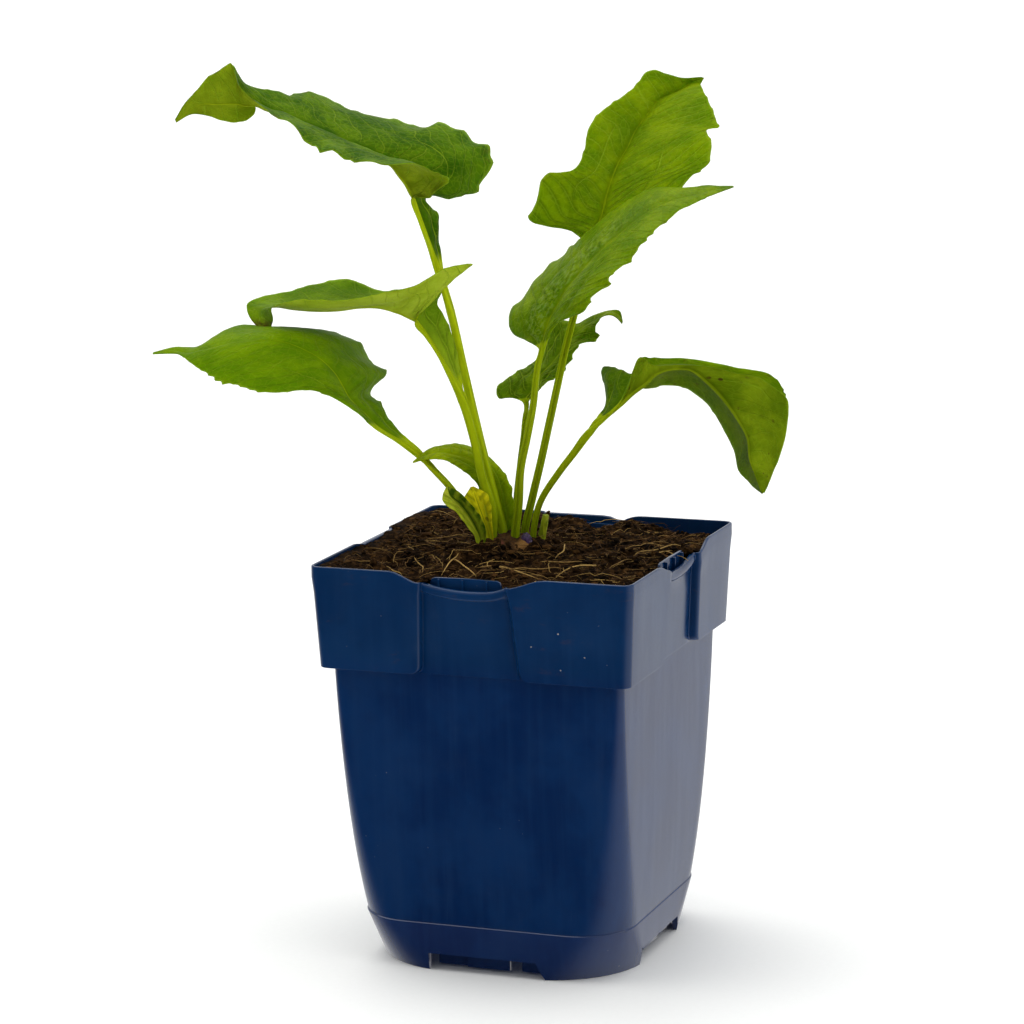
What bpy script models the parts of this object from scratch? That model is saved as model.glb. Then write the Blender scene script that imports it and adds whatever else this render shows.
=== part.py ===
"""A young coneflower in a square three-litre nursery pot.

Metres, +Z up.  The pot's axis is the world Z axis, its foot stands on Z = 0,
its front is -Y.  Sizes below are in millimetres and are scaled by MM.
"""
import math
import random
from collections import namedtuple

import bmesh
import bpy
import numpy as np
from mathutils import Vector

MM = 0.001
GAP = 0.3                 # clearance between neighbouring pieces

# Pot
RIM_HALF = 75.0           # half of the 150 mm square rim
POT_HEIGHT = 184.4
WALL = 1.3
COLLAR_DEPTH = 46.2
COLLAR_FOOT_HALF = 72.6
SHOULDER_HALF = 67.9      # half width of the body just under the collar
LEDGE_HEIGHT = 22.4       # fine step round the foot
LEDGE_HALF = 63.8
LEDGE_STEP = 0.4
FOOT_HALF = 61.7
FOOT_CORNER = 42.6
COLLAR_CORNER = 5.0
LEDGE_CORNER = 26.1
BODY_TAPER = 0.022        # straight part of the body's taper
BODY_TUCK = 1.95          # the curve that draws the body in near its foot
TUCK_POWER = 4.57
CORNER_POWER = 1.6        # how late the corners grow round on the way down
BODY_HEIGHTS = (42.0, 68.0, 100.0)
COLLAR_BOTTOM = POT_HEIGHT - COLLAR_DEPTH
FOOT_WALL = 1.7
FLOOR_HEIGHT = 10.0       # upper face of the pot's floor
FLOOR_THICK = 1.4
FLOOR_INSET = 2.0
LIP = 1.0                 # how far a cutter reaches past the rim

# Middle of each collar side: a recessed panel with a dipped rim
PANEL_HALF = 24.5
PANEL_STEP = 1.5
PANEL_RECESS = 2.0
DIP_START = 37.0
DIP_EDGE = 4.5
DIP_MIDDLE = 7.5
SIDE_PLACES = (DIP_START, 30.5, PANEL_HALF, PANEL_HALF - PANEL_STEP, 12.0)
CORNER_STEPS = 4

# Label pocket behind the dipped rim
POCKET_HALF = 17.0
POCKET_SLOT = 2.6
POCKET_TOP = 1.7          # below the rim
POCKET_BOTTOM = 16.0
POCKET_END_TOP = 8.6      # below the rim

# Foot: a notch in each side, and a skirt of blocks behind it
NOTCH_HALF = 25.0
NOTCH_HEIGHT = 8.0
NOTCH_REACH = 4.5
SKIRT_INSET = 6.0
SKIRT_THICK = 1.6
SKIRT_CLEAR = 1.6
SKIRT_BLOCKS = ((-24.0, 10.5), (16.0, 27.0))
SKIRT_ROOT = 0.4
DRAIN_HALF = (8.0, 1.7)
DRAIN_REACH = 26.0

# Compost
SOIL_WALL_HEIGHT = 179.8  # where it meets the pot's wall
SOIL_MOUND = 3.2          # how much higher it lies round the crown
SOIL_MOUND_REACH = 38.0
SOIL_BACK_RISE = 1.6
SOIL_ROUGHNESS = 1.1
SOIL_WAVES = 9
SOIL_WAVE_LENGTH = 46.0
SOIL_CALM_EDGE = 0.8      # from here outwards, as a share of the rim, the bumps grow smaller
SOIL_CALM_CROWN = (14.0, 10.0)   # no bumps within the first, full bumps that much further out
SOIL_BELOW_RIM = 1.0
SOIL_RINGS = (0.97, 0.89, 0.76, 0.6, 0.42, 0.2)
SOIL_SEED = 11
STRAW_RADIUS = 0.75
STRAW_SIDES = 5
STRAW_LIFT = 0.25         # of its middle line above the compost
STRAW_END_SINK = 2.2
STRAW_BEND = 4.0

# Crown: the woody knob that the leaves grow from
PLANT_TURN = math.radians(20.6)
CROWN_CENTRE = (-8.5, 1.5)
CROWN_HALF = (17.0, 13.5)
CROWN_TOP = 184.6
CROWN_FALL = 3.4
CROWN_FOOT = 168.0
CROWN_SIDES = 20
CROWN_ROWS = ((0.0, 0.55), (6.0, 0.86))      # height above its foot, share of its width
CROWN_DOME = (0.93, 0.75, 0.5, 0.25)
CROWN_SEED = 5
HOLE_FLOOR = 176.6
HOLE_SIDES = 10
HOLE_ROOM = 0.6
HOLE_TOP = POT_HEIGHT + 12.0
STALK_FOOT = 177.0

# Leaf blades
BLADE = 0.8               # thickness
STALK_DEPTH = 0.92        # a stalk is a little flatter than round
ROUND_SHARE = 0.15        # how far up the blade the stalk's round back lasts on the upper face
SOFTEN = 2                # passes that even out the direction of the blade's thickness
HALF_COLUMNS = 3          # strips of the blade on each side of its midrib
STALK_STEP = 15.0
BLADE_STEP = 6.2
TOOTHED = (0.12, 0.97)    # the stretch of the blade with a toothed margin
TOOTH_EVERY = 3           # rows

Leaf = namedtuple("Leaf", "name stalk radius side ribs tip tip_half bulge tooth colour")

TOP_LEFT = Leaf(
    "leaf_top_left",
    stalk=[(-10, 3, 186), (-13, 3, 200), (-17, 3.5, 217), (-21, 4, 235), (-26.3, 5, 260), (-32, 6, 288)],
    radius=(2.4, 2.1), side=(0.2, 0.97, 0.1),
    ribs=[
        [(-39, 5, 307), (-37, 7, 307), (-35, 10, 308)],
        [(-42, 5, 318), (-40, 8, 318), (-35, 14, 318)],
        [(-46, 5.8, 330), (-44, 8, 330), (-36, 17, 331)],
        [(-49, 5.3, 340.1), (-47, 8.6, 339), (-42, 15, 339)],
        [(-40, -4, 342), (-49, 8.3, 343.1), (-31, 24, 339)],
        [(-32, -12, 350), (-51, 7.9, 347.1), (-20, 32, 341)],
        [(-36, -18, 354), (-54, 7.4, 351.2), (-14, 38, 354)],
        [(-45, -22, 358), (-56.9, 6.8, 355.2), (-19, 42, 361)],
        [(-54.9, -26.8, 359.2), (-61.9, 4.9, 358.3), (-31, 44, 367)],
        [(-66.9, -32, 360.4), (-68.8, 2.7, 363.4), (-46, 43.8, 369)],
        [(-78.7, -34.2, 363.6), (-77.7, 0, 367.6), (-65.9, 38.2, 374.3)],
        [(-87.6, -34.8, 367.7), (-87.6, -2.8, 372.7), (-81.7, 31.3, 380.6)],
        [(-95.5, -33.2, 372.9), (-96.5, -5.4, 376.8), (-95.5, 22.8, 386.8)],
        [(-101.4, -28.3, 378.9), (-103.4, -6.7, 379.9), (-104.4, 13.1, 386.9)],
        [(-109.3, -22.8, 382), (-111.2, -7.1, 382), (-113.2, 5.5, 390)],
        [(-116.1, -21, 387.1), (-116.1, -7, 384.1), (-120.1, -0.4, 395.1)],
        [(-122, -21.1, 394.1), (-120.1, -8.8, 384.2), (-124, -2.5, 397.1)],
        [(-125.9, -19.8, 403.1), (-125, -10.7, 385.2), (-120.1, -4.8, 382.2)],
        [(-133.8, -19.3, 400.2), (-132.8, -14.1, 385.4), (-127.9, -10.2, 377.3)],
        [(-141.6, -19.7, 393.4), (-139.6, -17.4, 385.5), (-136.7, -15.8, 380.5)],
        [(-146.4, -21.6, 387.5), (-145.5, -21.5, 382.6), (-143.5, -21.1, 381.6)]],
    tip=(-150, -24, 379), tip_half=0.7, bulge=(0.06, 0.06), tooth=1.6, colour=(0.13, 0.28, 0.01))

MIDDLE_LEFT = Leaf(
    "leaf_middle_left",
    stalk=[(-15, -2, 186), (-14.8, -3, 201), (-18.9, -4, 215), (-22.6, -5, 234), (-27.1, -5, 250)],
    radius=(2.5, 2.4), side=(0.15, 0.98, 0.1),
    ribs=[
        [(-33, -7, 261), (-32, -5, 262), (-28.5, -0.5, 264)],
        [(-37.7, -7, 271), (-36.7, -5, 271), (-30.8, 1.5, 276)],
        [(-43.8, -7, 280), (-41.8, -5, 280), (-34, 4, 285)],
        [(-48, -8, 287), (-46.8, -5, 287), (-38.5, 8, 292)],
        [(-39, -14, 298), (-50, -5, 289), (-37, 12, 296)],
        [(-29, -21, 309), (-52, -5, 290), (-36, 17, 299)],
        [(-22, -26, 315), (-54, -5, 291), (-39, 22, 301)],
        [(-33, -28, 313), (-57, -5, 292), (-46, 25, 300)],
        [(-43, -28, 308), (-60, -5, 293), (-54, 26, 297)],
        [(-54, -27, 304), (-65, -5, 294), (-62, 27, 296)],
        [(-66, -26, 301), (-73, -5, 294), (-71, 27, 299)],
        [(-78, -26, 300), (-82, -6, 293), (-81, 26, 302)],
        [(-90, -27, 300), (-92, -7, 293), (-92, 24, 301)],
        [(-100, -27, 300), (-102, -8, 294), (-103, 18, 298)],
        [(-107, -24, 298), (-110, -7, 295), (-115, 12, 297)],
        [(-112, -17, 295), (-117, -5, 293), (-123, 5, 294)],
        [(-113, -11, 290), (-118, -5, 289), (-123, 0, 290)]],
    tip=(-117, -6, 285), tip_half=0.7, bulge=(-0.05, -0.05), tooth=0.7, colour=(0.13, 0.28, 0.01))

LOWER_LEFT = Leaf(
    "leaf_lower_left",
    stalk=[(-21, -3, 186), (-27, -4, 200), (-33.6, -5, 211), (-41.3, -6, 220)],
    radius=(1.8, 1.6), side=(0.3, 0.94, 0.15),
    ribs=[
        [(-50, -9, 227), (-48, -8, 228), (-47, -6, 229)],
        [(-58, -12, 234), (-57, -10, 235), (-55, -5, 236)],
        [(-67, -17, 241), (-65, -13, 241), (-61, -4, 243)],
        [(-75, -24, 250), (-71, -16, 248), (-65, -1, 249)],
        [(-85, -33, 258), (-77, -20, 255), (-69, 2, 254)],
        [(-93, -40, 262), (-80, -22, 261), (-63, 8, 260)],
        [(-99, -46, 263), (-83, -25, 267), (-62, 13, 262)],
        [(-108, -51, 263), (-89, -28, 274), (-69, 14, 266)],
        [(-117, -56, 265), (-96, -32, 279), (-74, 12, 275)],
        [(-124, -59, 268), (-104, -36, 283), (-84, 8, 280)],
        [(-131, -61, 270), (-113, -41, 285), (-97, 1, 283)],
        [(-137, -61, 274), (-125, -45, 285), (-112, -6, 285)],
        [(-144, -60.7, 278), (-136, -49, 283), (-126, -18, 288)],
        [(-148, -57, 281), (-146, -51, 281), (-140, -33, 281)],
        [(-152, -52, 281), (-153, -50, 282), (-151, -46, 283)]],
    tip=(-160.8, -50, 281), tip_half=0.7, bulge=(0.06, 0.06), tooth=0.6, colour=(0.14, 0.29, 0.01))

ARCHING_BASE = Leaf(
    "leaf_arching_base",
    stalk=[(-11, 10, 185)],
    radius=(2.2, 2.2), side=(1.0, 0.0, 0.0),
    ribs=[
        [(-16, 9, 193), (-11, 11, 192), (-7, 10, 193)],
        [(-19, 8, 202), (-13, 11, 202), (-7, 9, 203)],
        [(-21, 7, 209), (-15, 11, 210), (-8, 10, 211)],
        [(-25, 3, 215), (-19, 8, 218), (-12, 14, 217)],
        [(-30, -3, 220), (-25, 4, 223), (-19, 14, 223)],
        [(-35, -9, 224), (-32, -2, 226), (-27, 10, 228)],
        [(-40, -13, 226), (-39, -7, 228), (-36, 3, 229)],
        [(-45, -15, 226), (-45, -11, 227), (-43, -5, 229)]],
    tip=(-50, -15, 225), tip_half=0.7, bulge=(0.05, 0.05), tooth=0.4, colour=(0.2, 0.34, 0.02))

FOLDED_BASE = Leaf(
    "leaf_folded_base",
    stalk=[(-21, -12, 185)],
    radius=(1.5, 1.5), side=(1.0, 0.0, 0.0),
    ribs=[
        [(-23, -13, 190), (-21, -11, 189), (-18, -13, 190)],
        [(-26, -15, 195), (-23, -11, 194), (-19, -14, 196)],
        [(-31, -16, 202), (-27, -11, 201), (-22, -14, 202)],
        [(-37, -16, 207), (-31, -11, 206), (-26, -14, 207)],
        [(-37, -15, 210), (-34, -12, 209), (-30, -13, 211)]],
    tip=(-35, -12, 213), tip_half=0.7, bulge=(0.0, 0.0), tooth=0.3, colour=(0.08, 0.2, 0.01))

WITHERED = Leaf(
    "leaf_withered",
    stalk=[(-16, -8, 185)],
    radius=(1.2, 1.2), side=(1.0, 0.0, 0.0),
    ribs=[
        [(-19, -8, 191), (-17, -7, 191), (-15, -8, 191)],
        [(-22, -9, 197), (-19, -7, 197), (-16, -8, 196)],
        [(-25, -8, 203), (-21, -7, 203), (-18, -8, 203)],
        [(-26, -8, 208), (-23, -7, 207), (-20, -8, 207)]],
    tip=(-24, -7, 212), tip_half=0.7, bulge=(0.0, 0.0), tooth=0.6, colour=(0.45, 0.42, 0.02))

BACK_RIGHT = Leaf(
    "leaf_back_right",
    stalk=[(-1, 6, 186), (3, 7, 204), (7, 8, 220), (11, 10, 237), (15, 12, 254), (19, 15, 271),
           (23, 19, 285), (28, 25, 302)],
    radius=(1.8, 1.6), side=(1.0, 0.0, -0.2),
    ribs=[
        [(29, 29, 314), (32, 29, 313), (34, 29, 313)],
        [(25, 31, 320), (33, 32, 317), (40, 31, 318)],
        [(14, 30, 324), (34, 33, 320), (50, 31, 322)],
        [(4, 29, 327), (35, 36, 324), (60, 33, 328)],
        [(7, 30, 336), (37, 38, 330), (69, 34, 336)],
        [(11, 33, 347), (39, 42, 337), (78, 39, 346)],
        [(24, 38, 349), (42, 46, 345), (85, 43, 350)],
        [(29, 44, 357), (45, 51, 351), (87, 49, 359)],
        [(31, 49, 366), (49, 55, 357), (85, 54, 364)],
        [(37, 57, 373), (53, 62, 364), (90, 58, 366)],
        [(45, 63, 378), (59, 68, 371), (88, 65, 373)],
        [(54, 71, 384), (65, 75, 377), (85, 72, 380)],
        [(60, 77, 390), (73, 80, 380), (84, 78, 382)],
        [(75, 82, 386), (80, 83, 384), (84, 82, 383)]],
    tip=(85, 83, 386), tip_half=0.7, bulge=(0.05, 0.05), tooth=0.8, colour=(0.17, 0.34, 0.005))

FRONT_RIGHT = Leaf(
    "leaf_front_right",
    stalk=[(-5, -3, 186), (-3, -4, 204), (-2, -5, 219), (1, -6, 233), (4, -6, 248), (6, -6, 264)],
    radius=(2.1, 1.5), side=(0.75, -0.6, 0.0),
    ribs=[
        [(7, -4, 273), (8, -5, 274), (10, -7, 275)],
        [(2, 3, 276), (9, -5, 279), (14, -14, 285)],
        [(-5, 10, 280), (10, -5, 283), (22, -20, 290)],
        [(-6, 14, 287), (12, -4, 288), (27, -23, 293)],
        [(0, 17, 294), (15, -4, 293), (29, -26, 298)],
        [(7, 19, 302), (19, -4, 300), (37, -28, 305)],
        [(17, 20, 311), (25, -4, 307), (39, -28, 309)],
        [(27, 20, 319), (33, -5, 316), (47, -28, 316)],
        [(37, 20, 329), (42, -6, 324), (54, -27, 324)],
        [(47, 18, 336), (53, -8, 333), (60, -25, 330)],
        [(57, 14, 342), (64, -10, 339), (68, -23, 336)],
        [(69, 6, 343), (74, -13, 342), (77, -20, 340)],
        [(81, -5, 345), (84, -15, 344), (85, -18, 343)]],
    tip=(93, -17, 346), tip_half=0.7, bulge=(0.07, 0.07), tooth=0.6, colour=(0.14, 0.3, 0.01))

SMALL_MIDDLE = Leaf(
    "leaf_small_middle",
    stalk=[(-4.5, 11.5, 185), (-4, 12, 202), (-2, 14, 219), (0, 16, 234)],
    radius=(1.6, 1.4), side=(0.75, -0.6, 0.0),
    ribs=[
        [(-1, 19, 246), (1, 19, 246), (2, 18, 246)],
        [(-6, 24, 247), (1, 20, 248), (4, 14, 249)],
        [(-12, 27, 247), (3, 21, 250), (7, 13, 253)],
        [(-11, 30, 252), (5, 22, 253), (11, 15, 256)],
        [(-3, 32, 257), (7, 23, 257), (15, 16, 258)],
        [(5, 34, 262), (12, 24, 262), (20, 18, 263)],
        [(10.5, 36, 272.5), (17, 25, 268), (25, 20, 271)],
        [(15.5, 36, 281), (22, 27, 274), (33, 22, 274)],
        [(25, 34, 279), (28, 28, 279), (33, 22, 279)],
        [(31, 33, 282), (34, 28, 282), (35, 23, 283)],
        [(39, 32, 285), (40, 29, 285), (40, 25, 284)],
        [(44, 30, 285), (44, 29, 283), (43, 26, 282)]],
    tip=(45, 28, 280), tip_half=0.7, bulge=(0.05, 0.05), tooth=1.0, colour=(0.1, 0.24, 0.01))

DROOPING_RIGHT = Leaf(
    "leaf_drooping_right",
    stalk=[(3, 0, 186), (6.2, -5.2, 203.4), (14.5, -11.8, 218.1), (21.6, -19.2, 228.8), (27.8, -27.2, 238.6)],
    radius=(1.4, 1.9), side=(-0.3, -0.95, 0.1),
    ribs=[
        [(31.7, -27.2, 245.6), (32.6, -29.2, 244.6), (33.6, -31.2, 243.6)],
        [(35.6, -21.2, 250.5), (38.6, -32.2, 249.5), (40.6, -34.2, 251.5)],
        [(35.6, -13.2, 258.4), (43.5, -34.2, 254.5), (45.5, -39.2, 261.4)],
        [(34.6, -9.2, 264.4), (47.5, -36.2, 258.5), (47.5, -45.2, 269.4)],
        [(38.6, -11.2, 266.4), (52.5, -38.2, 262.4), (49.5, -50.2, 275.3)],
        [(51.5, -13.2, 256.5), (57.4, -41.2, 267.4), (56.4, -55.2, 276.3)],
        [(62.4, -11.2, 257.4), (64.3, -45.2, 270.4), (68.3, -61.2, 276.3)],
        [(70.3, -11.2, 256.4), (72.3, -49.2, 270.4), (81.2, -67.2, 275.4)],
        [(77.2, -12.2, 252.5), (78.2, -53.2, 266.4), (94.1, -72.2, 273.4)],
        [(83.2, -14.2, 246.5), (85.1, -57.2, 259.5), (105.9, -75.2, 271.4)],
        [(88.1, -18.2, 238.6), (91.1, -61.2, 251.6), (111.9, -77.2, 262.5)],
        [(92.1, -24.2, 229.7), (96, -65.2, 242.7), (111.9, -79.2, 250.6)],
        [(94.1, -32.2, 221.8), (97, -66.2, 233.7), (108.9, -80.2, 237.7)],
        [(98, -46.2, 215.9), (99, -68.2, 225.8), (105.9, -78.2, 228.8)]],
    tip=(101, -70, 215), tip_half=3.0, bulge=(0.08, 0.12), tooth=0.3, colour=(0.2, 0.36, 0.03))

LEAVES = (TOP_LEFT, MIDDLE_LEFT, LOWER_LEFT, ARCHING_BASE, FOLDED_BASE, WITHERED,
          BACK_RIGHT, FRONT_RIGHT, SMALL_MIDDLE, DROOPING_RIGHT)

# A cut stub and a purple bud beside the stalks
STUB_FOOT = (6.5, 3.0)
STUB_TOP = (9.0, 1.0, 197.0)
STUB_RADIUS = (1.3, 1.1)
STUB_BEND_HEIGHT = 184.0
BUD_FOOT = (0.0, -5.5)
BUD_RADIUS = 2.2
BUD_TOP = 190.0
BUD_PROFILE = ((0.0, 0.7), (0.45, 0.8), (0.62, 1.0), (0.8, 0.9), (0.92, 0.55), (1.0, 0.15))

# Straws and roots that lie on the compost: start, end, in the plant's frame
STRAWS = (((-63, -28), (-55, -42), 0.8), ((-52, -12), (-46, -36), 0.8), ((-34, -22), (-22, -46), 1.0),
          ((-22, -30), (8, -52), 1.1), ((-30, -16), (-38, -40), 0.8), ((2, -30), (26, -22), 0.9),
          ((12, -44), (34, -30), 1.0), ((36, -34), (48, -18), 0.8), ((17, 6), (13, -18), 0.9),
          ((48, -8), (70, 8), 0.8), ((40, -4), (56, 14), 0.7), ((-48, 22), (-28, 30), 0.8),
          ((-8, -38), (16, -36), 0.8), ((62, -2), (72, -16), 0.7))


def clear_scene():
    for old in list(bpy.data.objects):
        bpy.data.objects.remove(old, do_unlink=True)


def new_collection(name):
    collection = bpy.data.collections.new(name)
    bpy.context.scene.collection.children.link(collection)
    return collection


def material(name, colour, roughness, metallic=0.0):
    made = bpy.data.materials.new(name)
    made.use_nodes = True
    shader = made.node_tree.nodes["Principled BSDF"]
    shader.inputs["Base Color"].default_value = (*colour, 1.0)
    shader.inputs["Roughness"].default_value = roughness
    shader.inputs["Metallic"].default_value = metallic
    return made


def mesh_object(name, points, faces, collection, look=None):
    """Points in millimetres and faces become one object in metres."""
    mesh = bpy.data.meshes.new(name)
    mesh.from_pydata([tuple(float(value) * MM for value in point) for point in points], [], faces)
    mesh.validate()
    made = bpy.data.objects.new(name, mesh)
    collection.objects.link(made)
    if look is not None:
        mesh.materials.append(look)
    return made


def tidy_normals(obj):
    """Point every face outwards."""
    work = bmesh.new()
    work.from_mesh(obj.data)
    bmesh.ops.recalc_face_normals(work, faces=work.faces)
    if work.calc_volume(signed=True) < 0.0:
        bmesh.ops.reverse_faces(work, faces=work.faces)
    work.to_mesh(obj.data)
    work.free()


def loft(rings):
    """A closed skin over rings of equal length, with a fan over the first and the last."""
    count = len(rings[0])
    points = [point for ring in rings for point in ring]
    faces = []
    for row in range(len(rings) - 1):
        for i in range(count):
            j = (i + 1) % count
            a, b = row * count + i, row * count + j
            faces.append((a, b, b + count))
            faces.append((a, b + count, a + count))
    for first, flip in ((0, True), ((len(rings) - 1) * count, False)):
        ring = points[first:first + count]
        points.append(tuple(sum(point[k] for point in ring) / count for k in range(3)))
        centre = len(points) - 1
        for i in range(count):
            a, b = first + i, first + (i + 1) % count
            faces.append((b, a, centre) if flip else (a, b, centre))
    return points, faces


def box(name, low, high, collection):
    """A box between two corners in millimetres."""
    bpy.ops.mesh.primitive_cube_add(size=1.0)
    made = bpy.context.active_object
    made.name = name
    for vertex in made.data.vertices:
        for k in range(3):
            middle = (low[k] + high[k]) / 2.0
            vertex.co[k] = (middle + vertex.co[k] * (high[k] - low[k])) * MM
    for other in list(made.users_collection):
        other.objects.unlink(made)
    collection.objects.link(made)
    return made


def turn_about_axis(obj, quarter):
    obj.rotation_euler = (0.0, 0.0, quarter * math.pi / 2.0)


def hide_cutters(collection):
    for cutter in collection.objects:
        cutter.hide_render = True
        cutter.display_type = "WIRE"


def cut(obj, cutter_group):
    """Cut a whole collection out of an object."""
    modifier = obj.modifiers.new("cut " + cutter_group.name, "BOOLEAN")
    modifier.operation = "DIFFERENCE"
    modifier.operand_type = "COLLECTION"
    modifier.collection = cutter_group
    modifier.solver = "EXACT"


def fuse(obj, group):
    """Join a collection's objects into obj and remove them."""
    modifier = obj.modifiers.new("fuse", "BOOLEAN")
    modifier.operation = "UNION"
    modifier.operand_type = "COLLECTION"
    modifier.collection = group
    modifier.solver = "EXACT"
    bpy.context.view_layer.update()
    joined = bpy.data.meshes.new_from_object(obj.evaluated_get(bpy.context.evaluated_depsgraph_get()))
    obj.modifiers.clear()
    obj.data = joined
    for old in list(group.objects):
        bpy.data.objects.remove(old, do_unlink=True)
    bpy.data.collections.remove(group)


def body_half(height):
    """Half width of the pot's body at a height between the ledge and the collar."""
    down = COLLAR_BOTTOM - height
    return SHOULDER_HALF - BODY_TAPER * down - BODY_TUCK * body_share(height) ** TUCK_POWER


def body_corner(height):
    return COLLAR_CORNER + (LEDGE_CORNER - COLLAR_CORNER) * body_share(height) ** CORNER_POWER


def body_share(height):
    """0 at the collar, 1 at the ledge."""
    return min(max((COLLAR_BOTTOM - height) / (COLLAR_BOTTOM - LEDGE_HEIGHT), 0.0), 1.0)


def smooth(value):
    value = min(max(value, 0.0), 1.0)
    return value * value * (3.0 - 2.0 * value)


def rim_dip(along):
    """How far the rim lies below its corners at a place along a side."""
    along = abs(along)
    if along >= PANEL_HALF - PANEL_STEP / 2.0:
        return DIP_EDGE * smooth((DIP_START - along) / (DIP_START - PANEL_HALF))
    return DIP_MIDDLE - (DIP_MIDDLE - DIP_EDGE) * (along / PANEL_HALF) ** 2


def pot_ring(height, half, corner, panel=0.0, dip=0.0):
    """One ring of the pot: four sides, each with a panel, and four round corners."""
    straight = half - corner
    full = RIM_HALF - COLLAR_CORNER
    places = [-place for place in SIDE_PLACES] + [0.0] + [place for place in reversed(SIDE_PLACES)]
    side = []
    for place in places:
        recess = panel if abs(place) < PANEL_HALF - PANEL_STEP / 2.0 else 0.0
        side.append((place / full * straight, -(half - recess), height - dip * rim_dip(place)))
    for step in range(CORNER_STEPS + 1):
        angle = math.radians(-90.0 + 90.0 * step / CORNER_STEPS)
        side.append((straight + corner * math.cos(angle), -straight + corner * math.sin(angle), height))
    ring = []
    for quarter in range(4):
        c, s = math.cos(quarter * math.pi / 2.0), math.sin(quarter * math.pi / 2.0)
        ring += [(c * x - s * y, s * x + c * y, z) for x, y, z in side]
    return ring


def inner_half(height):
    return body_half(height) - WALL


def build_pot(group, look):
    rings = [
        pot_ring(FLOOR_HEIGHT - FLOOR_THICK, FOOT_HALF - FLOOR_INSET, FOOT_CORNER - FLOOR_INSET),
        pot_ring(0.0, FOOT_HALF - FOOT_WALL, FOOT_CORNER - WALL),
        pot_ring(0.0, FOOT_HALF, FOOT_CORNER),
        pot_ring(LEDGE_HEIGHT - LEDGE_STEP, LEDGE_HALF, LEDGE_CORNER),
        pot_ring(LEDGE_HEIGHT, body_half(LEDGE_HEIGHT), LEDGE_CORNER)]
    rings += [pot_ring(height, body_half(height), body_corner(height)) for height in BODY_HEIGHTS]
    rings += [
        pot_ring(COLLAR_BOTTOM, SHOULDER_HALF, COLLAR_CORNER),
        pot_ring(COLLAR_BOTTOM, COLLAR_FOOT_HALF, COLLAR_CORNER, PANEL_RECESS),
        pot_ring(POT_HEIGHT, RIM_HALF, COLLAR_CORNER, PANEL_RECESS, 1.0),
        pot_ring(POT_HEIGHT, RIM_HALF - WALL, COLLAR_CORNER - WALL, PANEL_RECESS, 1.0),
        pot_ring(COLLAR_BOTTOM + WALL, COLLAR_FOOT_HALF - WALL, COLLAR_CORNER - WALL, PANEL_RECESS),
        pot_ring(COLLAR_BOTTOM + WALL, SHOULDER_HALF - WALL, COLLAR_CORNER - WALL)]
    for height in reversed(BODY_HEIGHTS):
        rings.append(pot_ring(height, inner_half(height), body_corner(height) - WALL))
    rings += [
        pot_ring(LEDGE_HEIGHT, inner_half(LEDGE_HEIGHT), LEDGE_CORNER - WALL),
        pot_ring(FLOOR_HEIGHT, FOOT_HALF - FLOOR_INSET, FOOT_CORNER - FLOOR_INSET)]
    pot = mesh_object("pot", *loft(rings), group, look)
    tidy_normals(pot)

    extras = new_collection("pot extras")
    for quarter in range(4):
        for piece in pocket_boxes() + skirt_boxes():
            made = box("extra", *piece, extras)
            turn_about_axis(made, quarter)
    fuse(pot, extras)

    cutters = new_collection("pot cutters")
    notch = (-NOTCH_HALF, -RIM_HALF, -LIP), (NOTCH_HALF, -FOOT_HALF + NOTCH_REACH, NOTCH_HEIGHT)
    long_half, short_half = DRAIN_HALF
    drain = ((-long_half, -DRAIN_REACH - short_half, FLOOR_HEIGHT - FLOOR_THICK - LIP),
             (long_half, -DRAIN_REACH + short_half, FLOOR_HEIGHT + LIP))
    for quarter in range(4):
        for name, corners in (("notch", notch), ("slot", pocket_slot()), ("drain", drain)):
            turn_about_axis(box(name, *corners, cutters), quarter)
    hide_cutters(cutters)
    cut(pot, cutters)
    return pot


def pocket_boxes():
    """The block of the label pocket on the front side, and the plate that stands up at its back."""
    sunk = RIM_HALF - PANEL_RECESS - WALL / 2.0
    plate_front = RIM_HALF - PANEL_RECESS - WALL - POCKET_SLOT
    plate_back = plate_front - WALL
    low = POT_HEIGHT - POCKET_BOTTOM - WALL
    return [((-POCKET_HALF, -sunk, low), (POCKET_HALF, -plate_back, POT_HEIGHT - POCKET_END_TOP)),
            ((-POCKET_HALF, -plate_front, low), (POCKET_HALF, -plate_back, POT_HEIGHT - POCKET_TOP))]


def pocket_slot():
    """What is cut out of that block: the slot for the label."""
    back = RIM_HALF - PANEL_RECESS - WALL
    half = POCKET_HALF - WALL
    return (-half, -back, POT_HEIGHT - POCKET_BOTTOM), (half, -back + POCKET_SLOT, POT_HEIGHT + LIP)


def skirt_boxes():
    """Blocks that hang from the pot's floor behind the notch of the front side."""
    front = FOOT_HALF - SKIRT_INSET
    return [((start, -front, SKIRT_CLEAR), (end, -front + SKIRT_THICK, FLOOR_HEIGHT - SKIRT_ROOT))
            for start, end in SKIRT_BLOCKS]


def soil_height(x, y, noise):
    """Height of the compost at a place, x and y in the pot's frame."""
    turn = -PLANT_TURN
    plant_x = x * math.cos(turn) - y * math.sin(turn)
    plant_y = x * math.sin(turn) + y * math.cos(turn)
    away = math.hypot(plant_x - CROWN_CENTRE[0], plant_y - CROWN_CENTRE[1])
    mound = SOIL_MOUND * math.exp(-(away / SOIL_MOUND_REACH) ** 2)
    back = SOIL_BACK_RISE * plant_y / RIM_HALF
    edge = max(abs(x), abs(y)) / RIM_HALF
    calm = 1.0 - 0.6 * smooth((edge - SOIL_CALM_EDGE) / (1.0 - SOIL_CALM_EDGE))
    calm *= smooth((away - SOIL_CALM_CROWN[0]) / SOIL_CALM_CROWN[1])
    return SOIL_WALL_HEIGHT + mound + back + calm * noise(x, y)


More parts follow.
